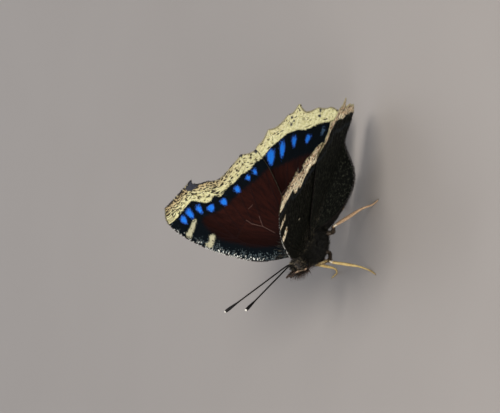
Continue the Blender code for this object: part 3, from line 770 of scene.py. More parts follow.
# Legs. Four walking legs and two short folded brush legs in front. Thigh, shank and a foot of
# five joints are stiff tan tubes with dark hair on the thigh and fine spines below the knee,
# ending in a pair of hooked claws. Each is a tube along the limb, narrowed at its joints.
LEGS = {
    "foreleg": dict(route=[(1.0, -3.9, -4.4, 0.34), (1.45, -3.3, -6.1, 0.36),
                           (1.6, -2.1, -7.2, 0.32), (2.0, -1.45, -7.45, 0.30),
                           (2.45, -2.3, -6.8, 0.28), (2.6, -3.5, -5.7, 0.26),
                           (2.45, -4.6, -4.9, 0.14)],
                    on_floor=False, bends=(3, 6), crosswise=(1.0, 0.0, 0.0), dark=0.5),
    "midleg": dict(route=[(1.0, -2.4, 9.0, 0.5), (1.9, -2.9, 7.5, 0.42), (3.5, -4.0, 8.0, 0.34),
                          (5.0, -5.1, 8.4, 0.30), (5.9, -5.35, 5.2, 0.36), (6.8, -5.6, 2.1, 0.25),
                          (8.9, -6.3, 0.5, 0.18), (10.8, -6.9, 0.2, 0.16),
                          (12.4, -7.45, 0.14, 0.12)],
                   on_floor=True, bends=(3, 5), crosswise=(0.0, 1.0, 0.0), dark=1.0),
    "hindleg": dict(route=[(1.0, 1.5, 8.6, 0.5), (2.0, 2.0, 7.2, 0.42), (3.8, 2.6, 7.8, 0.34),
                           (5.5, 3.2, 8.4, 0.33), (5.85, 5.5, 5.3, 0.42), (6.2, 7.8, 2.2, 0.29),
                           (8.0, 8.8, 0.5, 0.18), (9.3, 9.4, 0.2, 0.16), (10.5, 9.9, 0.14, 0.12)],
                    on_floor=True, bends=(3, 5), crosswise=(1.0, 0.0, 0.0), dark=1.0),
}
LEG_STEP = 0.08
LEG_SIDES = 16
LEG_END = 1.001
BEND_PINCH = dict(depth=0.22, width=0.012)
FOOT_JOINTS = 5
FOOT_PINCH = dict(depth=0.25, width=0.12)
SPINE_COUNT = 260
THIGH_HAIRS = 1500
THIGH_HAIRS_STOP = 5
SPINES_STOP = 0.97
LEG_HAIR_RANGE = (0.6, 1.4)
LEG_STRAY = 0.12
LEG_BEND = (0.1, 0.0)
LEG_SEED = 31
HORN_MESH = (12, 8)
HORN_THINNED = 0.85
HORN_BACK = 5
HORNS = {"claw": (0.42, 0.055, 0.20), "spur": (0.95, 0.085, 0.30)}
THIGH_TONES = ((0.022, 0.016, 0.012), (0.12, 0.08, 0.05))
LEG_TONES = {"leg_tan": ((0.48, 0.31, 0.11), (0.63, 0.50, 0.20)),
             "leg_rust": ((0.39, 0.24, 0.135), (0.52, 0.36, 0.215))}
KNEE_RING_TONE = (0.72, 0.64, 0.48)
LEG_SCALE_EDGE = (0.20, 0.12, 0.06)
SPINE_TONES = ((0.10, 0.06, 0.03), (0.42, 0.29, 0.15), (0.6, 0.5, 0.3), 0.3)
THIGH_HAIR_TONE = (0.016, 0.011, 0.008)
CLAW_TONES = ((0.03, 0.018, 0.01), (0.09, 0.05, 0.025))


def way_along(line):
    """The way along a line to each of its points."""
    return np.concatenate([[0], np.cumsum(np.linalg.norm(np.diff(line, axis=0), axis=1))])


def over_floor(points):
    """Points given across, along the floor from the hinges and above the floor, of which none
    is let below it."""
    placed = points + np.array([0.0, HINGE[1], 0.0])
    placed[:, 2] = np.maximum(placed[:, 2], 0.0)
    return placed


def leg_finish(name, deep, light):
    """Scaled leg: dark thigh, tan from the knee down in patches, pale ring at the knee."""
    f = Finish(name, Roughness=0.5, Specular_IOR_Level=0.35)
    share = f.field("share")
    patch = f.noise(f.place(), 3.0, 4.0)
    scale = f.cells(f.place(), 11.0)
    return f.feed(
        Base_Color=f.painted(
            f.mix(*THIGH_TONES, patch),
            (f.mix(deep, light, patch.within(0.3, 0.7)), share.within(0.90, 1.02)),
            (KNEE_RING_TONE, share.within(0.97, 1.0) * share.within(1.09, 1.04)),
            (LEG_SCALE_EDGE, scale.within(0.5, 0.9) * 0.35)),
        Normal=f.bump(1.0 - scale, 0.012))


leg_materials = {"foreleg": leg_finish("leg_tan", *LEG_TONES["leg_tan"]),
                 "hindleg": leg_finish("leg_rust", *LEG_TONES["leg_rust"])}
leg_materials["midleg"] = leg_materials["foreleg"]
spine_finish, spine_colour = coat_finish("leg_spines", *SPINE_TONES)
spine_material = spine_finish.feed(Base_Color=spine_finish.mix(
    spine_colour, THIGH_HAIR_TONE, spine_finish.field("thigh") * 0.9))
claw_finish = Finish("claw_dark", Roughness=0.35, Specular_IOR_Level=0.5)
claw_material = claw_finish.feed(Base_Color=claw_finish.mix(
    *CLAW_TONES, claw_finish.noise(claw_finish.place(), 4.0)))

for side, label in SIDES:
    for leg_name, leg in LEGS.items():
        limb = leg_name + "_" + label
        settle = over_floor if leg["on_floor"] else stand
        path = smooth_path(leg["route"], LEG_STEP, side)
        line, radius = path[:, :3], path[:, 3].copy()
        share = way_along(line) / way_along(line)[-1]
        corners = np.array([leg["route"][bend][:3] for bend in leg["bends"]]) * (side, 1, 1)
        bends = [share[np.linalg.norm(line - corner, axis=1).argmin()] for corner in corners]
        for bend in bends:
            off_bend = (share - bend) / BEND_PINCH["width"]
            radius *= 1 - BEND_PINCH["depth"] * np.exp(-off_bend ** 2)
        foot = np.clip((share - bends[1]) / (LEG_END - bends[1]), 0, 1)
        to_joint = (foot * FOOT_JOINTS % 1.0 - 1.0) / FOOT_PINCH["width"]
        radius *= 1 - FOOT_PINCH["depth"] * (foot > 0) * np.exp(-to_joint ** 2)
        grid = carried(line, radius, LEG_SIDES, np.array(leg["crosswise"]))
        add_tube(limb + "_shell", grid, settle, leg_materials[leg_name], (limb,),
                 {"share": np.interp(share, [0, *bends, LEG_END], [0, 1, 2, 3])[:, None]})

        draw = np.random.default_rng(LEG_SEED + side + 3 * len(leg_name))
        count = THIGH_HAIRS + SPINE_COUNT
        rows, columns = scattered(grid, count, draw)
        is_spine = np.arange(count) >= THIGH_HAIRS
        knee = np.interp(bends[0], share, np.arange(len(line)))
        thigh_end = knee - THIGH_HAIRS_STOP if leg["on_floor"] else len(line) - 2
        low_row = np.where(is_spine, knee, 0.0)
        high_row = np.where(is_spine, SPINES_STOP * (len(line) - 1), thigh_end)
        rows = low_row + (high_row - low_row) * draw.random(count)
        length = np.where(is_spine, 0.30, 0.42)
        add_hairs(limb + "_hairs", settle, spine_material, "leg_cuticle", grid, rows, columns,
                  draw, [part * length for part in LEG_HAIR_RANGE],
                  np.where(is_spine, 0.022, 0.03), np.where(is_spine, 0.5, 0.28), LEG_STRAY,
                  LEG_BEND, extra={"thigh": leg["dark"] * ((rows < knee) & ~is_spine)})
        if not leg["on_floor"]:
            continue

        # Claws at the foot's end and spurs at the shank's: curved horns that run on forward and
        # swing outward by the way raised to 1.5, thinning to a point.
        t = np.linspace(0, 1, HORN_MESH[0])[:, None]
        for kind, place in (("claw", len(line) - 1), ("spur", share.searchsorted(bends[1]))):
            length, thickness, splay = HORNS[kind]
            forward = unit(line[place] - line[place - HORN_BACK])
            level = unit(np.cross(forward, [0, 0, 1.0]))
            for which, letter in ((-1, "a"), (1, "b")):
                route = line[place] + forward * length * t + which * level * splay * t ** 1.5
                horn = carried(route, thickness * (1 - HORN_THINNED * t[:, 0]), HORN_MESH[1],
                               np.array([0.0, 0.0, 1.0]))
                add_tube(f"{limb}_{kind}_{letter}", horn, over_floor,
                         claw_material if kind == "claw" else leg_materials[leg_name])

# Wings. Each wing is one thin dry membrane, closely shingled with coloured scales and stiffened
# by veins that stand out on both faces. The sheet is worked out between its four edges (hinge,
# front edge, scalloped outer margin and inner margin), the veins are raised in it, and every
# marking is a distance in the wing's own plane that the finish reads.
SPREAD = math.radians(55.0)
TWIST = math.radians(4.6)
HINGE_HALF_WIDTH = 2.2
LAYER = 0.78
REST = 0.30
COSTA_DROOP = 0.5
APEX_BEND = 0.55
MARGIN_CURL = 1.0
FOLD_OUT = 1.3
FOLD_RADIUS = 2.0
FOLD_START = 2.5
FOLD_FULL = 6.5
HALF_SHEET = 0.055
VEIN_RISE = 0.15
VEIN_HALF_WIDTH = 0.24
VEIN_THINS = dict(share=0.55, over=36.0)
SAG = 0.16
SAG_WIDTH = 1.3
LINE_STEP = 0.5
VEIN_STEP = 0.6
GROUND_STEP = 1.0
SCALLOP_STEPS = 24
FAR_OFF = 5.0
SPOT_SQUARENESS = 2.4
SPOT_TAPER = 0.30
RING_TURN = 18.0
FLECK_SIZE = (1.25, 3.0)
FINE_FLECK_SIZE = (2.0, 4.2)
FLECK_CROWD = 0.95
WING_TONES = dict(
    wine=((0.0142, 0.0046, 0.0037), (0.0280, 0.0074, 0.0052)), wine_root_shade=(0.013, 0.007, 0.0065),
    wine_front=(0.0065, 0.0020, 0.0016), wine_vein=(0.012, 0.005, 0.005), worn=(0.19, 0.11, 0.09),
    band=((0.0020, 0.0036, 0.0052), (0.0055, 0.0092, 0.0125)), dust=(0.10, 0.13, 0.14),
    tick=(0.74, 0.75, 0.70), blue=((0.030, 0.085, 0.45), (0.013, 0.185, 0.78)),
    bright_blue=(0.05, 0.30, 0.92), shaded_blue=(0.11, 0.20, 0.33),
    cream=((0.67, 0.63, 0.31), (0.94, 0.90, 0.56)), bar=(0.41, 0.39, 0.27),
    bar_dash=(0.03, 0.03, 0.03), dull_cream=(0.45, 0.41, 0.21), tan_cream=(0.48, 0.32, 0.17),
    fine_fleck=(0.16, 0.11, 0.06), fleck=(0.022, 0.017, 0.012), stain=(0.042, 0.044, 0.056),
    bark=((0.0009, 0.0010, 0.0007), (0.0045, 0.0046, 0.0030)), hind_bark=(0.0078, 0.0090, 0.0078),
    grit=(0.050, 0.052, 0.038), frost=(0.018, 0.022, 0.028), under_tick=(0.20, 0.17, 0.13),
    tan=((0.50, 0.31, 0.15), (1.0, 0.95, 0.70)), tan_edge=(0.50, 0.30, 0.16),
    speck=(0.025, 0.016, 0.010), dot=(0.42, 0.38, 0.28), scale_edge=(0.0, 0.0, 0.0))

FOREWING = dict(
    front=[(-4.4, -1.2), (-4.9, 1.0), (-6.5, 4.6), (-7.9, 9.5), (-8.35, 16.0), (-8.35, 22.4),
           (-7.6, 29.0), (-6.3, 34.1), (-4.7, 37.2), (-2.2, 38.7)],
    tips=[(-2.2, 38.7), (6.15, 34.9), (6.9, 30.3), (8.1, 27.3), (11.8, 25.3), (15.1, 24.0),
          (17.3, 20.3)],
    scallops=[(0.1, 0.5), (1.0, 0.3), (0.3, 0.5), (0.12, 0.5), (0.12, 0.5), (0.3, 0.5)],
    inner=[(17.3, 20.3), (14.1, 15.3), (9.7, 10.3), (4.2, 5.0), (1.4, 1.4), (0.6, -1.2)],
    veins=dict(
        sc=[(-3.7, -0.6), (-4.5, 4.0), (-6.3, 11.0), (-7.3, 17.0), (-8.35, 22.4)],
        r1=[(-4.6, 13.0), (-6.1, 19.0), (-8.0, 26.2)],
        r3=[(-4.3, 16.6), (-5.6, 24.0), (-6.5, 33.0)],
        r=[(-3.3, -0.6), (-3.6, 4.0), (-4.6, 13.0), (-4.3, 16.6), (-3.6, 25.0), (-2.2, 38.7)],
        m1=[(-4.3, 16.6), (-1.3, 24.0), (3.0, 31.0), (6.15, 34.9)],
        m2=[(-2.2, 16.4), (1.5, 22.6), (6.9, 30.3)],
        m3=[(0.2, 15.9), (3.6, 21.4), (8.1, 27.3)],
        cell=[(-4.3, 16.6), (-2.2, 16.4), (0.2, 15.9)],
        cu=[(-2.6, -0.6), (-1.0, 5.0), (0.0, 10.2), (0.2, 13.4), (0.2, 15.9)],
        cu1=[(0.2, 13.4), (5.3, 19.3), (11.8, 25.3)],
        cu2=[(0.0, 10.2), (7.0, 16.8), (15.1, 24.0)],
        a2=[(-2.0, -0.6), (2.0, 4.6), (9.3, 12.0), (17.3, 20.3)]),
    border=[(-9.0, 38.5), (-5.3, 36.0), (-3.2, 34.6), (-0.7, 33.7), (1.4, 32.6), (1.7, 30.7),
            (1.9, 28.4), (2.7, 27.3), (4.0, 27.0), (4.2, 25.4), (5.7, 24.6), (7.4, 23.9),
            (9.0, 22.5), (10.6, 22.1), (11.8, 20.6), (12.7, 20.1), (14.3, 19.6), (15.3, 18.6),
            (18.0, 16.0)],
    ground=[(-3.0, -4.0), (-2.8, 3.1), (-4.2, 7.5), (-5.25, 12.0), (-5.4, 15.4), (-5.7, 20.3),
            (-5.0, 23.3), (-3.6, 26.3), (-1.9, 27.9), (-0.6, 26.4), (0.6, 24.4), (3.6, 22.2),
            (7.3, 20.3), (10.5, 17.7), (14.0, 15.5), (18.0, 12.0), (12.0, 0.0), (4.0, -5.0)],
    spots=[(-3.53, 32.6, 1.20, 0.70), (-1.69, 31.6, 1.66, 0.68), (-0.05, 29.55, 1.34, 0.62),
           (0.95, 26.4, 1.00, 0.88), (3.25, 23.6, 1.04, 0.72), (7.05, 21.4, 1.02, 0.68),
           (10.45, 19.75, 0.72, 0.60), (12.35, 18.7, 0.85, 0.50)],
    spot_way=[(-0.51, -0.86)] * 8, glow=[1.0] * 8,
    bars=[((-3.1, 29.5), (-6.5, 29.65), 0.52, 0.86), ((-5.6, 23.15), (-7.4, 22.95), 0.80, 0.70),
          ((-7.3, 23.1), (-7.5, 23.8), 0.50, 0.44)],
    worn=[[(0.62, 15.9), (0.12, 13.96), (0.24, 10.5), (-0.37, 7.0)],
          [(2.4, 12.9), (0.3, 10.9)], [(4.68, 15.8), (3.3, 16.5)]],
    stains=[(5.8, 34.8, 2.3), (15.1, 24.0, 0.55), (14.2, 24.6, 0.45), (17.1, 20.3, 0.6)],
    dot=(-0.1, 14.75), fold=0.0, rows=190, columns=150)
HINDWING = dict(
    front=[(-0.6, -1.2), (0.2, 1.5), (3.5, 8.0), (8.0, 15.0), (11.3, 19.7), (14.1, 21.9)],
    tips=[(14.1, 21.9), (18.6, 20.7), (22.7, 19.0), (27.4, 15.2), (30.7, 13.4), (31.0, 8.1),
          (31.9, 4.9), (31.2, 2.3)],
    scallops=[(0.15, 0.5), (0.4, 0.4), (0.8, 0.4), (0.5, 0.4), (1.6, 0.45), (0.3, 0.5),
              (0.25, 0.5)],
    inner=[(31.2, 2.3), (29.2, 1.5), (26.6, 1.3), (24.2, 0.8), (22.3, -0.9), (20.0, -3.3),
           (17.4, -4.7), (14.0, -5.1), (9.5, -4.3), (6.2, -2.8), (3.4, -1.2)],
    veins=dict(
        sc=[(0.8, -0.6), (2.6, 4.2), (7.6, 12.6), (14.1, 21.9)],
        rs=[(2.6, 4.2), (7.8, 10.2), (12.6, 15.2), (18.6, 20.7)],
        m1=[(7.8, 10.2), (14.0, 13.6), (22.7, 19.0)],
        m2=[(10.6, 8.9), (18.0, 11.6), (27.4, 15.2)],
        cell=[(7.8, 10.2), (10.6, 8.9), (12.4, 6.8)],
        m3=[(12.4, 6.8), (20.5, 9.6), (30.7, 13.4)],
        cu=[(1.8, -0.6), (4.6, 3.4), (9.0, 5.3), (12.4, 6.8)],
        cu1=[(12.4, 6.8), (21.0, 7.2), (31.0, 8.1)],
        cu2=[(9.0, 5.3), (19.0, 4.8), (31.9, 4.9)],
        a2=[(2.6, -0.6), (8.0, 1.2), (18.0, 2.2), (31.2, 2.3)],
        a3=[(5.4, -0.4), (11.0, -1.9), (16.5, -2.3), (20.4, -1.6)]),
    border=[(10.3, 25.8), (14.9, 20.0), (16.6, 18.3), (18.9, 17.3), (20.6, 15.9), (22.1, 14.7),
            (23.5, 13.2), (24.6, 11.6), (25.2, 9.6), (26.2, 7.9), (27.6, 6.3), (28.4, 4.3),
            (29.2, 3.2), (29.4, 1.2), (29.2, -3.0)],
    ground=[(-2.0, -6.0), (-2.0, 14.0), (9.0, 19.5), (12.0, 17.2), (14.0, 15.2), (16.7, 11.7),
            (18.6, 9.2), (20.6, 5.7), (22.3, 2.5), (23.2, -1.0), (24.0, -8.0)],
    spots=[(16.8, 16.15, 2.00, 1.0), (19.3, 13.9, 1.95, 0.70), (21.85, 11.3, 1.25, 0.62),
           (23.3, 7.8, 1.05, 0.66), (26.0, 4.6, 0.85, 0.36)],
    spot_way=[(-0.90, -0.43), (-0.96, -0.28), (-0.97, -0.25), (-1.0, 0.0), (-1.0, 0.0)],
    # glow: how fully each spot shows its blue; below 1 the spot is painted dull grey as a painted
    # shade, most on the last spot.
    glow=[1.0, 1.0, 1.0, 0.95, -0.4],
    bars=[], worn=[[(7.8, 10.2), (10.6, 8.9), (12.4, 6.8)]],
    stains=[(27.2, 14.2, 0.45), (26.5, 13.3, 0.35), (25.5, 13.5, 0.40), (29.4, 7.0, 0.40),
            (30.6, 7.3, 0.45)],
    dot=(60.0, 60.0), fold=1.0, rows=150, columns=140)


def forewing_lift(along, out, side):
    """Height off the wing plane: a droop along the front edge, as a sine of the way out that
    fades tailward, an eased bend down towards the apex, a little sag to the hindwing, and on
    the left wing a bell-shaped upward curl of the outer margin."""
    fades = np.exp(-(along + 8.4) / 5.0)
    droop = COSTA_DROOP * np.sin(math.pi * np.clip(out / 34.0, 0, 1)) * fades
    curl = MARGIN_CURL * (side > 0) * np.exp(-((along - 10.0) / 3.0) ** 2)
    return (curl * smooth_step((out - 19.0) / 8.0) - droop
            - APEX_BEND * smooth_step((out - 24.0) / 11.0) - REST * smooth_step(along / 8.0))


def hindwing_lift(along, out, side):
    """A layer below the forewing, easing back to the wing plane behind it."""
    return LAYER * (smooth_step((along - 17.8) / 6.0) - 1.0)


FOREWING["lift"] = forewing_lift
HINDWING["lift"] = hindwing_lift
WINGS = {"forewing": FOREWING, "hindwing": HINDWING}


def wing_place(wing, points, height, side):
    """Places over the floor of points in a wing's plane (along, out), at a height off its sheet.
    The plane stands SPREAD off the upright; inside FOLD_OUT a folding wing curls down on an arc
    of FOLD_RADIUS, by a turn that grows tailward, and runs on straight."""
    along, out = points[:, 0], points[:, 1]
    lift = wing["lift"](along, out, side) + height
    folded = wing["fold"] * smooth_step((along - FOLD_START) / (FOLD_FULL - FOLD_START))
    past = np.clip(FOLD_OUT - out, 0.0, None)
    turn = np.minimum(past / FOLD_RADIUS, SPREAD * folded)
    straight = past - turn * FOLD_RADIUS
    reach = (FOLD_RADIUS + lift) * np.sin(turn) + straight * np.cos(turn)
    drop = FOLD_RADIUS - (FOLD_RADIUS + lift) * np.cos(turn) + straight * np.sin(turn)
    flat_out = np.maximum(out, FOLD_OUT) - reach
    across = side * (HINGE_HALF_WIDTH + flat_out * math.sin(SPREAD) + drop * math.cos(SPREAD))
    upward = along * math.sin(TWIST) + flat_out * math.cos(SPREAD) - drop * math.sin(SPREAD)
    return stand(np.stack([across, along * math.cos(TWIST), upward], axis=-1))


def evenly(line, count):
    """Points at equal steps along a line."""
    line = np.asarray(line, dtype=float)
    way = way_along(line)
    steps = np.linspace(0, way[-1], count)
    return np.column_stack([np.interp(steps, way, line[:, k]) for k in range(line.shape[1])])


def scalloped(tips, scallops):
    """Margin from vein tip to vein tip. Each stretch is its chord plus depth times a sine whose
    peak sits at the given place, towards the wing."""
    corners = np.array(tips)
    t = (np.arange(SCALLOP_STEPS) / SCALLOP_STEPS)[:, None]
    read = []
    for start, end, (depth, place) in zip(corners[:-1], corners[1:], scallops):
        chord = end - start
        inward = np.array([-chord[1], chord[0]]) / np.linalg.norm(chord)
        if inward[1] > 0:
            inward = -inward
        peaked = np.sin(math.pi * t ** (math.log(0.5) / math.log(place)))
        read.append(start + chord * t + inward * depth * peaked)
    return np.vstack(read + [corners[-1:]])


def sheet_between(front, inner, hinge, margin):
    """Sheet spanned by four edges: the blend of front and inner edge, plus the blend of hinge
    and margin, less the straight blend of the four corners."""
    u = np.linspace(0, 1, len(front))[:, None, None]
    v = np.linspace(0, 1, len(hinge))[None, :, None]
    sides = (1 - v) * front[:, None] + v * inner[:, None]
    ends = (1 - u) * hinge[None] + u * margin[None]
    corners = ((1 - u) * (1 - v) * front[0] + (1 - u) * v * inner[0]
               + u * (1 - v) * front[-1] + u * v * inner[-1])
    return sides + ends - corners


def off_line(points, line):
    """Distance of each point from a line, the way along the line to there, and +1 or -1 for
    the side."""
    line = np.asarray(line, dtype=float)
    start, run = line[:-1], line[1:] - line[:-1]
    lengths = np.linalg.norm(run, axis=1)
    rel = points[:, None] - start[None]
    t = np.clip((rel * run).sum(-1) / lengths ** 2, 0, 1)
    gap = np.linalg.norm(rel - t[..., None] * run, axis=-1)
    best = gap.argmin(1)
    pick = np.arange(len(points))
    way = way_along(line)[best] + t[pick, best] * lengths[best]
    cross = run[best, 0] * rel[pick, best, 1] - run[best, 1] * rel[pick, best, 0]
    return gap[pick, best], way, np.where(cross >= 0, 1.0, -1.0)


def in_ring(points, ring):
    """True for points inside a closed ring, by counting the edges that a ray crosses."""
    x, y = points[:, 0:1], points[:, 1:2]
    (x0, y0), (x1, y1) = ring.T[:, None], np.roll(ring, -1, axis=0).T[:, None]
    crosses = (y0 > y) != (y1 > y)
    height = np.where(crosses, y1 - y0, 1.0)
    return (crosses & (x < x0 + (x1 - x0) * (y - y0) / height)).sum(axis=1) % 2 == 1


def markings(wing, points):
    """The wing's markings as distances in its plane, positive inside each."""
    zero = np.zeros(len(points))
    edge, trim_way, _ = off_line(points, wing["margin"])
    border, _, outer = off_line(points, smooth_path(wing["border"], LINE_STEP))
    ring = smooth_path(wing["ground"] + wing["ground"][:1], GROUND_STEP)
    ground = off_line(points, ring)[0] * np.where(in_ring(points, ring[:-1]), 1, -1)
    glow = zero + 1.0
    spot = bar = stain = zero - FAR_OFF
    for form, way, shine in zip(wing["spots"], wing["spot_way"], wing["glow"]):
        along, out, length, width = form
        rel = (points - (along, out)) / np.linalg.norm(way)
        lengthwise, crosswise = rel @ np.array(way), rel @ np.array([-way[1], way[0]])
        taper = np.clip(1.0 - SPOT_TAPER * lengthwise / length, 0.4, 1.4)
        grown = (abs(lengthwise / length) ** SPOT_SQUARENESS
                 + abs(crosswise / width / taper) ** SPOT_SQUARENESS) ** (1 / SPOT_SQUARENESS)
        spot = np.maximum(spot, width * (1 - grown))
        glow = np.minimum(glow, np.where(grown < 1.6, shine, 1.0))
    for start, end, near, far in wing["bars"]:
        gap, way, _ = off_line(points, [start, end])
        bar = np.maximum(bar, near + (far - near) * way / math.dist(start, end) - gap)
    for along, out, size in wing["stains"]:
        stain = np.maximum(stain, size - np.linalg.norm(points - (along, out), axis=1))
    swing = RING_TURN * np.arctan2(points[:, 0], points[:, 1])
    return {
        "glow": glow, "rings": np.column_stack([swing, np.linalg.norm(points, axis=1), zero]),
        "border": border * outer, "ground": ground, "spot": spot, "bar": bar,
        "worn": np.min([off_line(points, line)[0] for line in wing["worn"]], axis=0),
        "stain": stain, "edge": edge, "front": off_line(points, wing["front_line"])[0],
        "trim": np.column_stack([trim_way, edge, zero]), "plane": np.column_stack([points, zero])}


for wing in WINGS.values():
    wing["front_line"] = smooth_path(wing["front"], LINE_STEP)
    wing["margin"] = scalloped(wing["tips"], wing["scallops"])
    wing["inner_line"] = smooth_path(wing["inner"], LINE_STEP)
    front = evenly(wing["front_line"], wing["rows"])
    inner = evenly(wing["inner_line"][::-1], wing["rows"])
    hinge = evenly([front[0], inner[0]], wing["columns"])
    margin = evenly(wing["margin"], wing["columns"])
    wing["plan"] = sheet_between(front, inner, hinge, margin).reshape(-1, 2)
    gaps = np.stack([off_line(wing["plan"], smooth_path(line, VEIN_STEP))[0]
                     for line in wing["veins"].values()])
    outward = np.clip(np.linalg.norm(wing["plan"], axis=1) / VEIN_THINS["over"], 0, 1)
    full = 1.0 - VEIN_THINS["share"] * outward
    wing["vein_rise"] = (full * np.exp(-(gaps / VEIN_HALF_WIDTH) ** 2)).max(0)
    wing["sag"] = -SAG * (1 - np.exp(-(gaps.min(0) / SAG_WIDTH) ** 2))
    wing["marks"] = {**markings(wing, wing["plan"]), "vein": gaps.min(0)}


def wing_finish(name, flecks):
    """Scaled membrane. Upper face: wine ground, black band with blue spots, cream border with
    dark flecks. Under face: near black with fine cross streaks and a speckled tan border. How
    thickly the border is flecked goes from 0 to 1."""
    f = Finish(name, Roughness=0.65, Specular_IOR_Level=0.02)
    tone = WING_TONES
    plane, trim, rings = (f.field(label, "Vector") for label in ("plane", "trim", "rings"))
    border, ground, spot, glow, bar = map(f.field, ("border", "ground", "spot", "glow", "bar"))
    worn, stain, edge, front, vein = map(f.field, ("worn", "stain", "edge", "front", "vein"))
    out = f.part(plane, "Y")
    rag = f.noise(plane, 2.6, 4.0) - 0.5
    grain = f.noise(plane, 7.0, 3.0)
    fray = rag * 1.3 + (grain - 0.5) * 1.5
    torn = fray + (f.noise(plane, 3.4, 3.0, 0.9) - 0.5) * 1.9
    scales = f.cells(f.stretched(rings, (1.0, 0.7, 1.0)), 8.0)

    along_veins = f.noise(f.stretched(rings, (1.0, 0.22, 1.0)), 1.1, 4.0)
    wine = f.painted(
        f.mix(*tone["wine"], along_veins.within(0.3, 0.7)),
        # Painted shade: the wine darkens towards the root, where the body and the other wing
        # shade the wing's base.
        (tone["wine_root_shade"], out.within(11.0, 1.0) * 0.8),
        (tone["wine_front"], (front + rag).within(9.0, 3.5) * 0.80),
        (tone["wine_vein"], vein.within(0.25, 0.05) * 0.6),
        (tone["worn"], worn.within(0.14, 0.04) * grain.within(0.38, 0.6) * 0.75))
    adrift = f.swirled(plane, 1.9, 0.9)
    speckled = front.within(2.8, 0.3) * (0.05 + out.within(30.0, 23.0) * 0.50)
    dust = f.dashes(adrift, (2.9, 3.3), speckled) * grain.within(0.40, 0.52)
    tick = f.dashes(adrift, (1.7, 3.7), 0.10 + 0.22 * out.within(25.0, 15.0))
    tick = tick * out.within(4.0, 9.0) * flecks
    blue = f.painted(f.mix(*tone["blue"], (spot + fray * 0.7).within(0.0, 0.35)),
                     (tone["bright_blue"], grain.within(0.55, 0.68) * 0.6))
    # Painted shade: a spot whose glow is low is dulled towards grey.
    blue = f.mix(tone["shaded_blue"], blue, glow.within(-0.6, 0.9))
    cream = f.mix(*tone["cream"], f.noise(plane, 1.6, 4.0).within(0.35, 0.65))
    pale = f.painted(cream, (tone["bar"], 0.85),
                     (tone["bar_dash"], f.dashes(plane, (3.0, 2.2), 0.16)))

    tipward = f.part(trim, "X").within(30.0, 10.0)
    cluster = f.noise(trim, 0.45, 1.0).within(0.52, 0.60)
    crowd = edge.within(5.6, 0.6) * (0.30 + 0.70 * tipward) * (flecks + (1.0 - flecks) * cluster)
    drift = f.swirled(trim, 1.1, 0.9)
    fleck = f.dashes(drift, FLECK_SIZE, crowd * FLECK_CROWD * (0.25 + 0.75 * flecks))
    fine = f.dashes(drift, FINE_FLECK_SIZE, (0.02 + 0.05 * flecks) + crowd * 0.40 * flecks)
    trimmed = f.painted(
        cream, (tone["dull_cream"], 0.38 * flecks),
        (tone["tan_cream"], tipward * edge.within(2.5, 0.3) * 0.7 * flecks),
        (tone["fine_fleck"], fine * 0.8), (tone["fleck"], fleck),
        (tone["stain"], (stain + rag * 1.5).within(-0.1, 0.25)))
    upper = f.painted(
        f.mix(*tone["band"], grain.within(0.45, 0.8)),
        (wine, (ground + rag * 2.0).within(-0.5, 0.9)),
        (tone["dust"], dust * front.within(3.2, 1.5) * flecks),
        (tone["tick"], tick * front.within(0.95, 0.60)),
        (blue, (spot + fray * 0.95).within(-0.04, 0.08) * (0.55 + 0.45 * glow)),
        (pale, (bar + torn * 0.9).within(-0.04, 0.08)),
        (trimmed, (border + fray * 0.7).within(-0.06, 0.10)))

    streaks = f.noise(f.stretched(rings, (0.5, 2.9, 1.0)), 1.2, 4.0)
    grit = f.noise(f.stretched(rings, (0.9, 0.7, 1.0)), 1.7, 3.0, 0.9)
    frost = (border + rag * 1.1).within(-1.9, -1.3) * (border + rag).within(-0.6, -1.0)
    mottle = f.noise(f.stretched(trim, (1.0, 0.42, 1.0)), 3.2, 3.0, 0.85)
    speck = f.dashes(drift, (2.4, 1.3), 0.34 + 0.30 * edge.within(3.0, 0.6))
    tan = f.painted(f.mix(*tone["tan"], mottle.within(0.43, 0.54)),
                    (tone["tan_edge"], edge.within(2.4, 0.8) * mottle.within(0.58, 0.46)),
                    (tone["speck"], speck))
    dot = f.vectors("DISTANCE", plane, (*FOREWING["dot"], 0.0), "Value").within(0.34, 0.2)
    under = f.painted(
        f.mix(*tone["bark"], streaks.within(0.42, 0.74)),
        (tone["hind_bark"], 0.45 * (1.0 - flecks)),
        (tone["grit"], grit.within(0.52, 0.64) * 0.62), (tone["frost"], frost * 0.6),
        (tone["under_tick"], front.within(0.25, 0.1) * tick * 0.8),
        (tan, (bar + fray * 0.8).within(-0.30, -0.15) * front.within(3.7, 3.0)),
        (tan, (border - 2.0 * (1.0 - flecks) + fray * 0.9).within(0.0, 0.16)),
        (tone["dot"], dot * flecks))
    colour = f.painted(upper, (under, f.field("under")),
                       (tone["scale_edge"], scales.within(0.35, 0.95) * 0.22))
    return f.feed(Base_Color=colour, Normal=f.bump(1.0 - scales, 0.022))


def sheet_faces(rows, columns):
    """Faces of two grids, one over the other, joined round their rim into one closed sheet."""
    row, column = np.mgrid[0:rows - 1, 0:columns - 1]
    first = (row * columns + column).ravel()
    top = np.column_stack([first, first + 1, first + columns + 1, first + columns])
    total = rows * columns
    rim = np.concatenate([
        np.arange(columns - 1), np.arange(rows - 1) * columns + columns - 1,
        total - 1 - np.arange(columns - 1), (rows - 1 - np.arange(rows - 1)) * columns])
    after = np.roll(rim, -1)
    walls = np.column_stack([after, rim, rim + total, after + total])
    return [np.vstack([top, top[:, ::-1] + total, walls])]


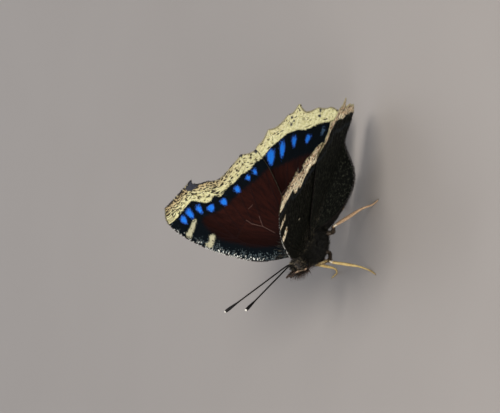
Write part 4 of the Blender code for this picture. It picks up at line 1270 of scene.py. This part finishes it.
wing_materials = {"forewing": wing_finish("forewing_scales", 1.0),
                  "hindwing": wing_finish("hindwing_scales", 0.25)}
for wing_name, wing in WINGS.items():
    thick = HALF_SHEET + VEIN_RISE * wing["vein_rise"]
    fields = {label: np.concatenate([values, values]) for label, values in wing["marks"].items()}
    fields["under"] = np.repeat([0.0, 1.0], len(thick))
    for side, label in SIDES:
        points = np.vstack([wing_place(wing, wing["plan"], wing["sag"] + sign * thick, side)
                            for sign in (1, -1)])
        make_piece(wing_name + "_" + label + "_membrane", points,
                   sheet_faces(wing["rows"], wing["columns"]), wing_materials[wing_name],
                   (wing_name + "_" + label,), fields)

# Wing fringes. Rows of long narrow scales stand out all round the wings' edges, cream on the
# outer margin and dark at the vein tips, black and white in turn along the front edge, and
# brown hairs lie over the wing roots. Each is a thin lock rooted in the edge of the sheet.
FRINGE_STEP = 0.045
FRINGE_LENGTH = (0.32, 0.60)
FRINGE_WIDTH = 0.034
FRINGE_PATCH = 0.25
FRINGE_ROWS = 2
FRINGE_LEVELS = (0.07, -0.05)
FRINGE_SUNK = 0.05
FRINGE_STRAY = dict(level=0.05, place=0.03, lean=0.35, lift=0.12)
FRINGE_SEED = 51
FRONT_LEAN = 0.9
FRINGE_CREAMS = ((0.36, 0.31, 0.17), (0.66, 0.60, 0.38))
FRINGE_WHITE = (0.80, 0.80, 0.74)
FRINGE_DARKS = ((0.004, 0.004, 0.005), (0.030, 0.024, 0.020))
ROOT_HAIRS = 1900
ROOT_DRAWN = 8
ROOT_REACH = 5.5
ROOT_FIELD = dict(corner=(-6.0, -0.8), size=(25.0, ROOT_REACH))
ROOT_WIDTH = 0.035
ROOT_LEVEL = 0.05
ROOT_STRAY = (0.15, 0.15, 0.015)
ROOT_BALD = 1.6
CREST_HAIRS = 1500
CREST_FIELD = dict(corner=(4.0, 0.75), size=(17.0, 1.1))
CREST_LIE = (0.9, -0.8, 0.35)
MAP_CORNER = (-10.0, -8.0)
MAP_WIDTH = 50.0

fringe_finish = Finish("fringe_scales", Roughness=0.6, Specular_IOR_Level=0.1)
fringe_pale, fringe_tone = map(fringe_finish.field, ("pale", "tone"))
fringe_cream = fringe_finish.painted(fringe_finish.mix(*FRINGE_CREAMS, fringe_tone),
                                     (FRINGE_WHITE, fringe_pale.within(1.05, 1.2)))
fringe_material = fringe_finish.feed(Base_Color=fringe_finish.painted(
    fringe_finish.mix(*FRINGE_DARKS, fringe_tone), (fringe_cream, fringe_pale.least(1.0))))


def on_wing(wing, side):
    """The way from points given in a wing's plane (along, out, height off the sheet) to their
    places over the floor."""
    return lambda points: wing_place(wing, points, points[:, 2], side)


def wing_map(points):
    """A wing's plan as a map, 50 millimetres across."""
    return (points[:, :2] - MAP_CORNER) / MAP_WIDTH


def strewn(field, count, draw):
    """Places strewn evenly over an oblong of a wing's plane."""
    return draw.random((count, 2)) * field["size"] + field["corner"]


def chance_of(whole):
    """A value between 0 and 1 for each whole number, with no pattern to it: what stands after
    the point in a steep sine of it."""
    return np.modf(np.abs(np.sin(whole * 12.9898)) * 43758.5453)[0]


for wing_name, wing in WINGS.items():
    fore = wing is FOREWING
    ring = np.vstack([wing["front_line"][:-1], wing["margin"][:-1], wing["inner_line"]])
    edges = []
    for kind in ("front_line", "margin", "inner_line"):
        line = evenly(wing[kind], int(way_along(wing[kind])[-1] / FRINGE_STEP))
        way = unit(np.gradient(line, axis=0))
        square = np.column_stack([-way[:, 1], way[:, 0]])
        square *= np.sign(((line - wing["plan"].mean(0)) * square).sum(1))[:, None]
        edges.append((kind, *(np.vstack([part] * FRINGE_ROWS) for part in (line, square, way))))
    for side, label in SIDES:
        draw = np.random.default_rng(FRINGE_SEED + side)
        gathered = []
        for kind, line, square, way in edges:
            count, out = len(line), line[:, 1]
            root = np.column_stack([line, FRINGE_STRAY["level"] * draw.normal(0, 1, count)])
            root[:, :2] += (FRINGE_STRAY["place"] * draw.normal(0, 1, (count, 2))
                            - FRINGE_SUNK * square)
            lean = FRINGE_STRAY["lean"] * draw.normal(0, 1, count)
            lean += FRONT_LEAN * (kind == "front_line")
            lie = np.column_stack([square + lean[:, None] * way,
                                   FRINGE_STRAY["lift"] * draw.normal(0, 1, count)])
            length = drawn(FRINGE_LENGTH, count, draw)
            row_count = count // FRINGE_ROWS
            stretch = np.floor(np.arange(count) % row_count * FRINGE_STEP / FRINGE_PATCH)
            chance = chance_of(stretch)
            if kind == "front_line":
                upper_row = np.arange(count) < row_count
                white = (stretch % 2 < 1) & (out > 10.5) & (chance > 0.25 + 0.30 * (out > 24.0))
                pale = 1.25 * (white & fore)
                pale = upper_row * np.where(out > 35.5, 0.45 * (chance > 0.4), pale)
                root[:, 2] = np.where(upper_row, *FRINGE_LEVELS)
                length = length * np.where(out < 6.0, 0.3, 0.75 + 0.35 * (pale > 0))
            elif kind == "margin":
                to_tip = np.linalg.norm(line[:, None] - wing["tips"], axis=2).min(1)
                dark_share = 0.45 + 0.35 * (out > 30.5) if fore else 0.05
                pale = 1.0 * ((to_tip > 0.5 * fore) & (chance > dark_share))
            else:
                pale = fore * np.where(line[:, 0] > 15.9, 0.9, 0.10 * (line[:, 0] > 8.0))
                length = length * (0.35 if fore else 1.8)
            gathered.append((root, unit(lie), length, pale))
        root, lie, length, pale = map(np.concatenate, zip(*gathered))
        add_locks(wing_name + "_" + label + "_fringe", on_wing(wing, side), fringe_material,
                  root, lie, np.tile([0.0, 0.0, 1.0], (len(root), 1)), length,
                  FRINGE_WIDTH, 0.0 * lie, wing_map(root), draw, {"pale": pale})

        spread = strewn(ROOT_FIELD, ROOT_HAIRS * ROOT_DRAWN, draw)
        along, out = spread.T
        near = in_ring(spread, ring) & (off_line(spread, ring)[0] > 0.2)
        bald = ROOT_BALD * draw.random(len(spread)) * (1 - wing["fold"])
        near &= off_line(spread, wing["front_line"])[0] > bald
        near &= draw.random(len(spread)) > out / ROOT_REACH + np.clip(along - 10.0, 0, 3) / 5
        crest = strewn(CREST_FIELD, int(CREST_HAIRS * wing["fold"]), draw)
        spread = np.vstack([spread[near][:ROOT_HAIRS], crest])
        count = len(spread)
        on_crest = np.arange(count) >= count - len(crest)
        face = np.where(draw.random(count) > 0.5, 1.0, -1.0)
        upright = np.zeros((count, 2))
        lie = np.column_stack([spread * 0.12 + (0.1, 0.5), face * 0.12])
        lie[on_crest] = CREST_LIE
        lie = unit(lie + ROOT_STRAY * draw.normal(0, 1, (count, 3)))
        above = np.where(on_crest, 1.0, face)
        root = np.column_stack([spread, above * ROOT_LEVEL])
        add_locks(wing_name + "_" + label + "_root_hairs", on_wing(wing, side),
                  coat_materials["coat_brown"], root, lie,
                  np.column_stack([upright, face]), drawn((0.9, 1.9 + on_crest), count, draw),
                  ROOT_WIDTH, np.column_stack([upright, -above * 0.02]), wing_map(root), draw)
